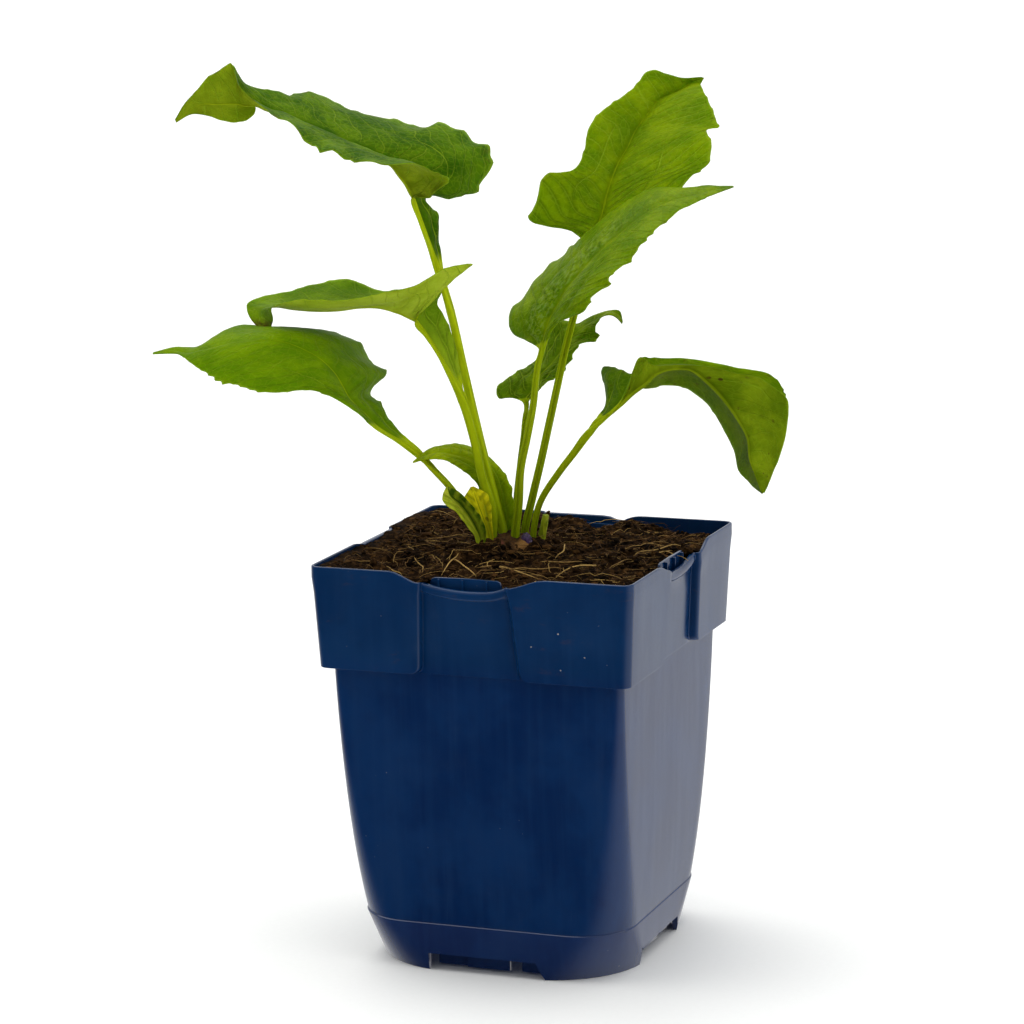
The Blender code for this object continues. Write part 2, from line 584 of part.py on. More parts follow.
def lumps(seed, count, reach):
    """A smooth bumpy function of x and y: a few waves of seeded direction."""
    draw = random.Random(seed)
    waves = []
    for _ in range(count):
        angle = draw.uniform(0.0, math.tau)
        length = draw.uniform(0.35, 1.0) * reach
        waves.append((math.cos(angle) * math.tau / length, math.sin(angle) * math.tau / length,
                      draw.uniform(0.0, math.tau)))

    def bump(x, y):
        return sum(math.sin(a * x + b * y + c) for a, b, c in waves) / math.sqrt(count)
    return bump


def build_soil(group, look):
    """The compost fills the pot and stands a little below the rim."""
    bump = lumps(SOIL_SEED, SOIL_WAVES, SOIL_WAVE_LENGTH)

    def noise(x, y):
        return SOIL_ROUGHNESS * bump(x, y)

    rings = [pot_ring(FLOOR_HEIGHT + GAP, FOOT_HALF - FLOOR_INSET - 2.0 * GAP, FOOT_CORNER - FLOOR_INSET),
             pot_ring(LEDGE_HEIGHT, inner_half(LEDGE_HEIGHT) - GAP, LEDGE_CORNER - WALL)]
    for height in BODY_HEIGHTS:
        rings.append(pot_ring(height, inner_half(height) - GAP, body_corner(height) - WALL))
    inner_corner = COLLAR_CORNER - WALL
    ledge = COLLAR_BOTTOM + WALL + GAP
    rings.append(pot_ring(ledge, SHOULDER_HALF - WALL - GAP, inner_corner))
    rings.append(pot_ring(ledge, COLLAR_FOOT_HALF - WALL - GAP, inner_corner, PANEL_RECESS))
    share = (SOIL_WALL_HEIGHT - COLLAR_BOTTOM) / COLLAR_DEPTH
    top_half = COLLAR_FOOT_HALF + (RIM_HALF - COLLAR_FOOT_HALF) * share - WALL - GAP
    top = pot_ring(SOIL_WALL_HEIGHT, top_half, inner_corner, PANEL_RECESS)
    rings.append([(x, y, min(soil_height(x, y, noise), POT_HEIGHT - SOIL_BELOW_RIM)) for x, y, _ in top])
    for scale in SOIL_RINGS:
        rings.append([(x * scale, y * scale, soil_height(x * scale, y * scale, noise)) for x, y, _ in top])
    soil = mesh_object("soil", *loft(rings), group, look)
    tidy_normals(soil)
    fuse(soil, build_straws(noise))

    cutters = new_collection("soil cutters")
    crown_shape("crown hole", GAP, cutters)
    for leaf in LEAVES:
        stalk_hole(leaf.stalk[0], leaf.radius[0], cutters)
    stalk_hole(STUB_FOOT, STUB_RADIUS[0], cutters)
    low, high = pocket_boxes()[0]
    room = (low[0] - GAP, -RIM_HALF, low[2] - GAP), (high[0] + GAP, high[1] + GAP, POT_HEIGHT + LIP)
    for quarter in range(4):
        turn_about_axis(box("pocket room", *room, cutters), quarter)
    hide_cutters(cutters)
    cut(soil, cutters)
    return soil


def build_straws(noise):
    """Thin straws and roots, each sunk at both ends and showing its back."""
    straws = new_collection("straws")
    draw = random.Random(SOIL_SEED)
    for start, end, thick in STRAWS:
        bend = draw.uniform(-STRAW_BEND, STRAW_BEND)
        points = []
        for share in (0.0, 0.25, 0.5, 0.75, 1.0):
            px = start[0] + (end[0] - start[0]) * share
            py = start[1] + (end[1] - start[1]) * share
            length = math.hypot(end[0] - start[0], end[1] - start[1])
            sway = bend * math.sin(math.pi * share)
            px -= (end[1] - start[1]) / length * sway
            py += (end[0] - start[0]) / length * sway
            x, y = turned(px, py)
            sink = STRAW_END_SINK if share in (0.0, 1.0) else 0.0
            points.append((x, y, soil_height(x, y, noise) + STRAW_LIFT - sink))
        radius = STRAW_RADIUS * thick
        tube("straw", points, [radius] * len(points), STRAW_SIDES, straws)
    return straws


def turned(x, y):
    """From the plant's frame to the pot's frame."""
    c, s = math.cos(PLANT_TURN), math.sin(PLANT_TURN)
    return c * x - s * y, s * x + c * y


def tube(name, points, radii, sides, collection, look=None):
    """A closed round bar along points, with a radius at each."""
    route = [Vector(point) for point in points]
    side = Vector((1.0, 0.0, 0.0))
    rings = []
    for i, point in enumerate(route):
        ahead = (route[min(i + 1, len(route) - 1)] - route[max(i - 1, 0)]).normalized()
        side = (side - ahead * side.dot(ahead)).normalized()
        other = ahead.cross(side)
        rings.append([point + (side * math.cos(a) + other * math.sin(a)) * radii[i]
                      for a in (math.tau * k / sides for k in range(sides))])
    made = mesh_object(name, *loft([[tuple(p) for p in ring] for ring in rings]), collection, look)
    tidy_normals(made)
    return made


def stalk_hole(place, radius, collection):
    """A plain upright hole that a stalk stands in."""
    x, y = place[0], place[1]
    made = tube("stalk hole", [(x, y, HOLE_FLOOR), (x, y, HOLE_TOP)], [radius + HOLE_ROOM] * 2,
                HOLE_SIDES, collection)
    made.rotation_euler = (0.0, 0.0, PLANT_TURN)
    return made


def crown_shape(name, extra, collection, look=None):
    """The crown's outside, or with extra room the hole for it, in the plant's frame."""
    bump = lumps(CROWN_SEED, 6, 16.0)
    shoulder = CROWN_TOP - CROWN_FALL
    rows = [(CROWN_FOOT + up - extra, scale) for up, scale in CROWN_ROWS] + [(shoulder - 1.5, 1.0)]
    if extra:
        rows.append((HOLE_TOP, 1.0))

    def ring(height, scale, dome):
        points = []
        for k in range(CROWN_SIDES):
            angle = math.tau * k / CROWN_SIDES
            wobble = 1.0 + 0.05 * math.sin(3.0 * angle + 0.7) + 0.04 * math.sin(5.0 * angle + 2.0)
            x = CROWN_CENTRE[0] + (CROWN_HALF[0] * scale * wobble + extra) * math.cos(angle)
            y = CROWN_CENTRE[1] + (CROWN_HALF[1] * scale * wobble + extra) * math.sin(angle)
            lift = CROWN_FALL * (1.0 - scale ** 2) + 0.5 * bump(x, y) * (1.0 - scale) if dome else 0.0
            points.append((x, y, height + lift))
        return points

    rings = [ring(height, scale, False) for height, scale in rows]
    if not extra:
        rings += [ring(shoulder, scale, True) for scale in CROWN_DOME]
    made = mesh_object(name, *loft(rings), collection, look)
    tidy_normals(made)
    made.rotation_euler = (0.0, 0.0, PLANT_TURN)
    return made


def build_crown(group, look):
    crown = crown_shape("crown", 0.0, group, look)
    cutters = new_collection("crown cutters")
    for leaf in LEAVES:
        stalk_hole(leaf.stalk[0], leaf.radius[0], cutters)
    stalk_hole(STUB_FOOT, STUB_RADIUS[0], cutters)
    stalk_hole(BUD_FOOT, BUD_RADIUS, cutters)
    hide_cutters(cutters)
    cut(crown, cutters)
    return crown


def spline(knots, points, at):
    """A smooth curve through points, with unequal steps between its knots."""
    knots, points = np.asarray(knots), np.asarray(points, float)
    slopes = np.zeros_like(points)
    step = np.diff(knots)[:, None]
    rise = np.diff(points, axis=0) / step
    slopes[1:-1] = (rise[:-1] * step[1:] + rise[1:] * step[:-1]) / (step[:-1] + step[1:])
    slopes[0], slopes[-1] = rise[0], rise[-1]
    index = np.clip(np.searchsorted(knots, at, side="right") - 1, 0, len(knots) - 2)
    span = (knots[index + 1] - knots[index])[:, None]
    u = (at - knots[index])[:, None] / span
    return ((2 * u ** 3 - 3 * u ** 2 + 1) * points[index] + (u ** 3 - 2 * u ** 2 + u) * span * slopes[index]
            + (3 * u ** 2 - 2 * u ** 3) * points[index + 1] + (u ** 3 - u ** 2) * span * slopes[index + 1])


def leaf_rails(leaf):
    """The left edge, midrib and right edge of a leaf, from its foot to its tip."""
    side = np.array(leaf.side) / np.linalg.norm(leaf.side)
    foot = (leaf.stalk[0][0], leaf.stalk[0][1], STALK_FOOT)
    stalk = [foot] + list(leaf.stalk)
    rails = [[], [], []]
    for i, place in enumerate(stalk):
        radius = leaf.radius[0] + (leaf.radius[1] - leaf.radius[0]) * i / len(stalk)
        middle = np.array(place, float)
        for rail, offset in zip(rails, (-radius, 0.0, radius)):
            rail.append(middle + side * offset)
    for rib in leaf.ribs:
        for rail, place in zip(rails, rib):
            rail.append(np.array(place, float))
    last = rails[2][-1] - rails[0][-1]
    last = last / np.linalg.norm(last) * leaf.tip_half
    for rail, sign in zip(rails, (-1.0, 0.0, 1.0)):
        rail.append(np.array(leaf.tip, float) + last * sign)
    rails = [np.array(rail) for rail in rails]
    chords = [np.linalg.norm(np.diff(rail, axis=0), axis=1) for rail in rails]
    knots = np.concatenate([[0.0], np.cumsum(sum(chords) / 3.0)])
    return rails, knots, len(stalk)


def leaf_surface(leaf):
    """Rows of points across the leaf, the midrib's radius at each, and how far up the blade each is."""
    rails, knots, stalk_count = leaf_rails(leaf)
    split = knots[stalk_count - 1]
    stalk_rows = max(int(round(split / STALK_STEP)), 2)
    blade_rows = int(round((knots[-1] - split) / BLADE_STEP))
    at = np.concatenate([np.linspace(0.0, split, stalk_rows, endpoint=False),
                         np.linspace(split, knots[-1], blade_rows + 1)])
    left, middle, right = (spline(knots, rail, at) for rail in rails)
    share = np.clip((at - split) / (knots[-1] - split), 0.0, 1.0)
    radius = leaf.radius[0] + (leaf.radius[1] - leaf.radius[0]) * np.clip(at / split, 0.0, 1.0)
    radius = np.where(share > 0.0, leaf.radius[1] * (1.0 - share) ** 0.8 + 0.15, radius)
    along = np.gradient(middle, at, axis=0)

    toothed = (share > TOOTHED[0]) & (share < TOOTHED[1]) & (np.arange(len(at)) % TOOTH_EVERY == 1)
    tooth = leaf.tooth * toothed
    columns = np.zeros((len(at), 2 * HALF_COLUMNS + 1, 3))
    for edge, sign, bulge in ((left, -1.0, leaf.bulge[0]), (right, 1.0, leaf.bulge[1])):
        reach = edge - middle
        width = np.linalg.norm(reach, axis=1, keepdims=True)
        reach = reach * np.maximum(1.0, 0.95 * radius[:, None] / width)
        reach = reach * (1.0 + tooth[:, None] / np.maximum(width, 4.0))
        up = sign * np.cross(reach, along)
        up /= np.maximum(np.linalg.norm(up, axis=1, keepdims=True), 1e-6)
        power = np.log(np.maximum(width / (1.25 * radius[:, None]), 1.0)) / math.log(HALF_COLUMNS)
        power = np.clip(power, 1.0, 2.2)
        for j in range(HALF_COLUMNS + 1):
            s = (j / HALF_COLUMNS) ** power
            place = middle + reach * s + up * width * bulge * 4.0 * s * (1.0 - s)
            columns[:, HALF_COLUMNS + int(sign) * j] = place
    return columns, radius, share


def leaf_skin(leaf):
    """The leaf as a thin closed skin: an upper face, a lower face with the midrib, two edges."""
    middle, radius, blade_share = leaf_surface(leaf)
    rows, count = middle.shape[:2]
    across = np.gradient(middle, axis=1)
    along = np.gradient(middle, axis=0)
    up = np.cross(across, along)
    up /= np.maximum(np.linalg.norm(up, axis=2, keepdims=True), 1e-9)
    for _ in range(SOFTEN):
        up[1:-1] = up[:-2] + 2.0 * up[1:-1] + up[2:]
        up /= np.linalg.norm(up, axis=2, keepdims=True)
    width = np.linalg.norm(middle - middle[:, HALF_COLUMNS:HALF_COLUMNS + 1], axis=2)
    off_rib = np.clip(width / radius[:, None], 0.0, 1.0)
    keel = np.sqrt(1.0 - off_rib ** 2) * np.maximum(STALK_DEPTH * radius[:, None] - BLADE / 2.0, 0.0)
    roundness = np.clip(1.0 - blade_share / ROUND_SHARE, 0.0, 1.0)[:, None]
    upper = middle + up * (BLADE / 2.0 + keel * roundness)[:, :, None]
    lower = middle - up * (BLADE / 2.0 + keel * (2.0 - roundness))[:, :, None]
    rings = []
    for row in range(rows):
        rings.append([tuple(point) for point in upper[row]] + [tuple(point) for point in lower[row][::-1]])
    return leaf_faces(rings, rows, count)


def leaf_faces(rings, rows, count):
    """Triangles alike on both faces, a strip along each edge, and a cap at each end."""
    size = 2 * count
    points = [point for ring in rings for point in ring]
    faces = []

    def at(row, column, under):
        return row * size + (size - 1 - column if under else column)

    for row in range(rows - 1):
        for column in range(count - 1):
            for under in (False, True):
                a, b = at(row, column, under), at(row, column + 1, under)
                c, d = at(row + 1, column + 1, under), at(row + 1, column, under)
                pair = ((a, b, c), (a, c, d)) if column < count // 2 else ((a, b, d), (b, c, d))
                faces += [face[::-1] if under else face for face in pair]
        for column in (0, count - 1):
            a, b = at(row, column, False), at(row + 1, column, False)
            c, d = at(row + 1, column, True), at(row, column, True)
            pair = ((a, b, c), (a, c, d))
            faces += [face if column == 0 else face[::-1] for face in pair]
    for row in (0, rows - 1):
        for column in range(count - 1):
            a, b = at(row, column, False), at(row, column + 1, False)
            c, d = at(row, column + 1, True), at(row, column, True)
            pair = ((a, c, b), (a, d, c))
            faces += [face[::-1] if row else face for face in pair]
    return points, faces


def build_leaf(leaf, group):
    look = material(leaf.name, leaf.colour, 0.45)
    made = mesh_object(leaf.name, *leaf_skin(leaf), group, look)
    tidy_normals(made)
    made.data.shade_smooth()
    made.rotation_euler = (0.0, 0.0, PLANT_TURN)
    return made


def build_stub(group, look):
    x, y = STUB_FOOT
    points = [(x, y, STALK_FOOT), (x, y, STUB_BEND_HEIGHT), STUB_TOP]
    made = tube("shoot_stub", points, (STUB_RADIUS[0], STUB_RADIUS[0], STUB_RADIUS[1]), 10, group, look)
    made.rotation_euler = (0.0, 0.0, PLANT_TURN)
    return made


def build_bud(group, look):
    """A short pointed bud: a turned profile standing in the crown."""
    x, y = BUD_FOOT
    points = [(x, y, STALK_FOOT + (BUD_TOP - STALK_FOOT) * height) for height, _ in BUD_PROFILE]
    made = tube("bud", points, [BUD_RADIUS * thick for _, thick in BUD_PROFILE], 12, group, look)
    made.rotation_euler = (0.0, 0.0, PLANT_TURN)
    return made


def main():
    clear_scene()
    group = new_collection("potted_coneflower")
    build_pot(group, material("pot plastic", (0.008, 0.03, 0.12), 0.35))
    build_soil(group, material("compost", (0.03, 0.018, 0.01), 0.95))
    build_crown(group, material("crown bark", (0.16, 0.09, 0.04), 0.9))
    for leaf in LEAVES:
        build_leaf(leaf, group)
    build_stub(group, material("stub green", (0.3, 0.4, 0.03), 0.5))
    build_bud(group, material("bud purple", (0.12, 0.06, 0.16), 0.5))


main()
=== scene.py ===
"""The looks of the potted coneflower: leaves, crown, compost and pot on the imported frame."""
import math
import random
from collections import namedtuple

import bmesh
import bpy
import numpy as np
from mathutils import Matrix, Vector, noise


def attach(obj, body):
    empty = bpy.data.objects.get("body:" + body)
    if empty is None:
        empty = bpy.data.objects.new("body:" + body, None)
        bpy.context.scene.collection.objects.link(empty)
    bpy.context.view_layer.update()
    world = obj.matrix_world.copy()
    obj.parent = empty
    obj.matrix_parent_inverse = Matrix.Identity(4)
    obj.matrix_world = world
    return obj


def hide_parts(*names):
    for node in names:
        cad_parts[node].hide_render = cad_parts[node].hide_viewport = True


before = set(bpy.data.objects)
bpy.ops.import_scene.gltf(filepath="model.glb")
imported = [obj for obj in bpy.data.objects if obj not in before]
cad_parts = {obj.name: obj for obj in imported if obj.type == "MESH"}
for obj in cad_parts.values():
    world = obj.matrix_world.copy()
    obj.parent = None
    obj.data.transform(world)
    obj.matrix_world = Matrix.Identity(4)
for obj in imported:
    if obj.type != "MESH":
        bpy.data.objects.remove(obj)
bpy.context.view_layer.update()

MM = 0.001
PLANT_TURN = math.radians(20.6)   # the plant's frame looks along the photograph's view

# Camera: where the photograph was taken from, worked out from the rim's corners
CAMERA_YAW = PLANT_TURN
CAMERA_PITCH = math.radians(11.0)
CAMERA_ROLL = math.radians(-0.88)
CAMERA_SIDE = 6.52
CAMERA_LIFT = -14.03
CAMERA_AWAY = 1714.4
CAMERA_AIM = 184.4
SENSOR_WIDTH = 36.0
CAMERA_FOCAL = 3800.0 / 1024.0 * SENSOR_WIDTH

# Pot, in millimetres, as in the solid
RIM_HALF = 75.0
POT_HEIGHT = 184.4
WALL = 1.3
COLLAR_DEPTH = 46.2
COLLAR_BOTTOM = POT_HEIGHT - COLLAR_DEPTH
COLLAR_FOOT_HALF = 72.6
COLLAR_CORNER = 5.0
SHOULDER_HALF = 67.9
LEDGE_HEIGHT = 22.4
LEDGE_HALF = 63.8
LEDGE_STEP = 0.4
LEDGE_CORNER = 26.1
FOOT_HALF = 61.7
FOOT_CORNER = 42.6
BODY_TAPER = 0.022
BODY_TUCK = 1.95
BODY_ROWS = (24.0, 27.0, 31.0, 36.0, 42.0, 49.0, 58.0, 68.0, 78.0, 90.0, 102.0, 114.0, 126.0, 134.0)
FLOOR_HEIGHT = 10.0
FLOOR_THICK = 1.4
PANEL_HALF = 24.5
PANEL_RECESS = 3.4
PANEL_REACH = 30.0        # a side's middle part, which keeps its width
PANEL_KEEPS = 45.0        # until its straight part is shorter than this
EDGE_REACH = 15.0         # how far a panel's moved edge draws the rim's places with it
CREASE = 0.5
PANEL_ROUND = 3.6         # radius of the blocks' lower corners beside the panel
PANEL_TOP = (-1.7, -7.3)  # how much nearer its middle each edge of the panel starts at the rim
PANEL_FOOT = (0.0, -2.6)  # and how much nearer it ends above its lower corner
BEAD = 1.6                # how far the dipped rim's rounded lip stands out
DIP_START = 37.0
DIP_EDGE = 4.5
DIP_MIDDLE = 7.5
BACK_DIP = (-22.0, 2.0, 4.5)   # the back's notch: its place along the side, depth and half width
COLLAR_ROWS = (0.6, 1.3, 2.3, 3.6, 6.0, 10.0, 15.0, 20.0, 25.0, 30.0, 34.0)
BEAD_ROWS = ((5.2, 0.0), (4.4, 0.15), (3.9, 0.6), (3.3, 0.9), (2.5, 1.0), (1.6, 1.0))
SIDE_PLACES = (62.0, 52.0, 44.0, 40.0, 37.0, 34.5, 32.0, 30.0, 28.2, 26.8, 25.8, 25.2, 24.9, 24.5, 24.1,
               23.8, 23.3, 22.0, 19.5, 16.0, 12.0, 8.0, 4.0)
CORNER_STEPS = 12
POCKET_MIDDLE = -3.5
POCKET_HALF = 16.6
POCKET_SLOT = 2.6
POCKET_BOTTOM = 16.0
POCKET_TOP = 3.0
POCKET_END_TOP = 8.6
POCKET_RIBS = (-15.7, -4.5, 6.7)
RIB_HALF = (0.5, 0.45)      # at its foot and at its top
RIB_DEPTH = 1.5
PLATE_CORNER = ((0.0, 2.2), (0.7, 0.7), (2.2, 0.1))   # inwards from the plate's end, down from its top
NOTCH_LEFT = -26.5
NOTCH_RIGHT = (28.9, 24.3)  # at the ground and at the top
NOTCH_HEIGHT = 8.0
NOTCH_REACH = 4.5
SKIRT = (((-24.0, -9.7), 6.0), ((-9.7, 10.5), 4.5), ((16.0, 27.0), 5.2))   # blocks, and how far in they lie
SKIRT_THICK = 1.6
SKIRT_CLEAR = 1.6
DRAIN_HALF = (8.0, 1.7)
DRAIN_REACH = 26.0
LIP = 1.0
SPECKS = (((22.6, 169.7), 0.45), ((41.3, 161.2), 0.6), ((28.8, 154.6), 0.7), ((53.1, 151.4), 0.55),
          ((42.0, 144.9), 0.5), ((22.0, 158.0), 0.3), ((46.0, 171.0), 0.25), ((-41.0, 164.0), 0.25),
          ((-58.0, 149.0), 0.3), ((60.0, 166.0), 0.25))
Row = namedtuple("Row", "half height corner recess dip bead soft", defaults=(0, 0, 0, 0.0))

# Compost
SOIL_WALL_HEIGHT = 179.8
SOIL_MOUND = 3.2
SOIL_BACK_RISE = 1.6
SOIL_ROUGHNESS = 1.1
SOIL_SEED = 11
SOIL_STEP = 0.85
SOIL_CORNER = 4.0
CLODS = (11.0, 2.8)       # width and height of each grain of the crumbly surface
LUMPS = (6.0, 3.2)
CRUMBLE = (3.1, 1.9)
GRIT = (1.3, 0.9)
LEFT_BANK = 4.2           # heights of the banks, falls, hollows and mounds of the crumbly surface
BACK_BANK = 1.8
BACK_FALL = 2.6
BACK_HOLLOW = 2.4
FRONT_HOLLOW = 3.2
CROWN_MOUND = 4.8
FOLDED_MOUND = 4.5
LEFT_BAND = -45.0         # left of this, crumbs and fibres keep further from the wall
CROWN_CENTRE = (-8.5, 1.5)
CROWN_HALF = (17.0, 13.5)
CROWN_TOP = 188.2
CROWN_FALL = 3.4
CROWN_BARE = 0.75         # share of the crown's half widths that is free of crumbs
STALK_FOOT = 177.0
CRUMBS = 2200
CRUMB_SIZES = (0.5, 0.7, 0.7, 1.0, 1.0, 1.4, 2.0)
FIBRES = 2400
# Heaps of crumbs beside a pocket: along the side, and out from the pot's axis
HEAPS = ((-21.4, 68.6), (-21.4, 70.6), (15.0, 68.6), (15.4, 70.4))
HEAP_CRUMBS = 200
STRAWS = (((-63, -28), (-55, -42), 0.8), ((-52, -12), (-46, -36), 0.8), ((-34, -22), (-22, -46), 1.0),
          ((-22, -30), (8, -52), 1.1), ((-30, -16), (-38, -40), 0.8), ((2, -30), (26, -22), 0.9),
          ((12, -44), (34, -30), 1.0), ((36, -34), (48, -18), 0.8), ((17, 6), (13, -18), 0.9),
          ((48, -8), (70, 8), 0.8), ((40, -4), (56, 14), 0.7), ((-48, 22), (-28, 30), 0.8),
          ((-8, -38), (16, -36), 0.8), ((62, -2), (72, -16), 0.7))

# Crown, stub and bud. The patches are bare wood, a red scar and a green scar
CROWN_PATCHES = (((-1.8, -9.5), 3.0, (0.3, 0.15, 0.045)), ((-13.0, -7.5), 2.6, (0.16, 0.05, 0.03)),
                 ((-19.0, -7.0), 2.0, (0.14, 0.13, 0.02)))
STUB_FOOT = (6.5, 3.0)
STUB_ROUTE = ((0.0, 0.0, STALK_FOOT), (0.0, 0.0, 184.0), (0.7, -0.5, 188.0), (1.6, -1.3, 192.5),
              (2.5, -2.0, 197.0))
STUB_RADII = (1.9, 1.9, 1.8, 1.65, 1.4)
BUD_FOOT = (0.0, -5.5)
BUD_TOP = 190.4
BUD_HALF = (2.9, 2.2)
BUD_PROFILE = ((0.0, 0.7), (0.3, 0.75), (0.45, 0.8), (0.55, 0.94), (0.62, 1.0), (0.72, 0.98), (0.8, 0.9),
               (0.87, 0.74), (0.92, 0.55), (0.97, 0.33), (1.0, 0.12))

# Floor and light
FLOOR_REACH = 30.0
FLOOR_DARK = (0.9, 0.91, 0.9)
FLOOR_LIGHT = (0.94, 0.95, 0.94)
ROOM_FRONT = (-0.35, -0.94, 0.0)   # the side of the room that is dark near the floor
ROOM_TOP = 0.7
LAMPS = (("key", (-0.4, 0.12, 1.0), 60.0, 1.75, (1.0, 0.99, 0.97)),
         ("fill", (0.5, 0.15, 1.0), 65.0, 0.8, (1.0, 1.0, 1.0)))

# Leaves: as in the solid, with more columns and rows, a thinner blade and finer relief
BLADE = 0.45
STALK_DEPTH = 0.92
ROUND_SHARE = 0.15
HALF_COLUMNS = 18
RIB_COLUMNS = 4
STALK_STEP = 3.0
BLADE_STEP = 1.1
FROM_FRONT = (0.0, 1.0, 0.0)
HEM_SHARE = 0.28          # share of the columns that turn over along a folded margin
HEM_DEPTH = 1.1
RIB_LEAST = 0.12
RIB_GROOVE = (0.5, 2.2)   # depth and half width
NERVE_GROOVE = (0.35, 1.6)
CHANNEL = 0.42            # depth and half width of the stalk's channel, as a share of its radius
MARGIN_THIN = 0.55
FRILL_LENGTH = 3.4
TOOTHLESS = (10.0, 8.0)   # at the foot and at the tip of a blade
TOOTH_CLEAR = 4.0
TOOTH_STEP = (6.0, 12.0)
WOBBLE_SIZE = 16.0
VEIN_NET = 3.1
# Heights over which the stalks' painted shade near the crown fades out
STALK_SHADE = (184.0, 215.0)
VEIN = (0.3, 0.42, 0.02)
STALK = (0.47, 0.57, 0.006)
STALK_DARK = (0.17, 0.25, 0.003)
# Colour of a painted sheen; SHADE below is the painted shade of darker halves and of creases
PAINTED_SHEEN_COLOUR = (0.22, 0.3, 0.09)
SHADE = (0.022, 0.065, 0.002)
BROWN = (0.07, 0.04, 0.006)

# A leaf's stalk and ribs are points in the plant's frame, and each rib runs from the left margin over the
# midrib to the right one. Its teeth lie along the left and the right margin: how far from the blade's foot,
# and how high.
Leaf = namedtuple("Leaf", "name stalk radius side ribs tip bulge teeth look tip_half hem",
                  defaults=(0.7, (0, 0, 0)))
# Spacing, rake and veins are those of the side veins, furrow is how deep they lie and how much painted
# shade darkens the valleys between them, and calm where both fade.
# Teeth, frill and wave shape the margin. Split is a half darkened with painted shade, wing a paler foot,
# narrow a foot with the stalk's colour, dry where the tip turns brown and how much of the margin, and
# waxy the strength of a painted sheen band on the left half, with painted shade in its creases.
Look = namedtuple("Look", "seed dark light under_dark under spacing teeth frill wave gloss veins midrib "
                  "spots stem rake shine split wing narrow dry furrow calm waxy",
                  defaults=(6.0, 0.3, 0.25, 0.3, 0.45, 0.2, 0.5, 0.02, 0.5, 0.75, 0.02, 0.0, 0.0, 1.0,
                            (400.0, 0.25), 0.3, (30.0, 110.0), 0.0))

TOP_LEFT = Leaf(
    "leaf_top_left",
    stalk=[(-10, 3, 186), (-13, 3, 200), (-17, 3.5, 217), (-21, 4, 235), (-26.3, 5, 260), (-32, 6, 288)],
    radius=(2.4, 2.1), side=(0.2, 0.97, 0.1),
    ribs=[
        [(-39, 5, 307), (-37, 7, 307), (-35.5, 10, 308)],
        [(-42, 5, 318), (-40, 8, 318), (-36.6, 14, 318)],
        [(-46, 5.8, 330), (-44, 8, 330), (-38, 17, 331)],
        [(-49, 5.3, 340.1), (-47, 8.6, 339), (-42, 15, 339)],
        [(-40, -4, 342), (-49, 8.3, 343.1), (-31, 24, 339)],
        [(-32, -12, 350), (-51, 7.9, 347.1), (-20, 32, 341)],
        [(-36, -18, 354), (-54, 7.4, 351.2), (-14, 38, 354)],
        [(-45, -22, 358), (-56.9, 6.8, 355.2), (-19, 42, 361)],
        [(-54.9, -26.8, 359.2), (-61.9, 4.9, 358.3), (-31, 44, 367)],
        [(-66.9, -32, 360.4), (-68.8, 2.7, 363.4), (-46, 43.8, 369)],
        [(-78.7, -34.2, 363.6), (-77.7, 0, 367.6), (-65.9, 38.2, 374.3)],
        [(-87.6, -34.8, 367.7), (-87.6, -2.8, 372.7), (-81.7, 31.3, 380.6)],
        [(-95.5, -33.2, 372.9), (-96.5, -5.4, 376.8), (-95.5, 22.8, 386.8)],
        [(-101.4, -28.3, 378.9), (-103.4, -6.7, 379.9), (-104.4, 13.1, 386.9)],
        [(-109.3, -22.8, 382), (-111.2, -7.1, 382), (-113.2, 5.5, 390)],
        [(-116.1, -21, 387.1), (-116.1, -7, 384.1), (-120.6, -0.4, 394.4)],
        [(-122, -21.1, 394.1), (-120.1, -8.8, 384.2), (-126.7, -3.5, 401)],
        [(-125.9, -19.8, 403.1), (-125, -10.7, 385.2), (-116.5, -5.4, 381)],
        [(-132.9, -19.3, 398.8), (-132.8, -14.1, 385.4), (-124.5, -9.6, 376.8)],
        [(-140.3, -19.7, 392), (-139.6, -17.4, 385.5), (-136.7, -15.8, 380.5)],
        [(-145.7, -21.6, 386.9), (-145.5, -21.5, 382.6), (-143.5, -21.1, 381.6)]],
    tip=(-150, -24, 379), bulge=(0.06, 0.06),
    teeth=(((86, 0.8), (122, 1.8), (142, 3.4), (160, 1.0), (172, 2.6), (205, 0.5)),
           ((46, 1.2), (62, 0.8), (75, 1.8), (84, 2.4), (91, 3.4), (100, 1.6), (110, 2.8), (124, 0.9),
            (137, 0.6), (162, 0.8))),
    look=Look(seed=1, dark=(0.03, 0.085, 0.0015), light=(0.09, 0.17, 0.002), under_dark=(0.15, 0.2, 0.004),
              under=(0.24, 0.3, 0.008), spacing=9.5, teeth=0.5, frill=0.45, wave=0.5, gloss=0.42,
              veins=0.24, spots=0.1, stem=1.0, dry=(400.0, 0.5), furrow=0.5))

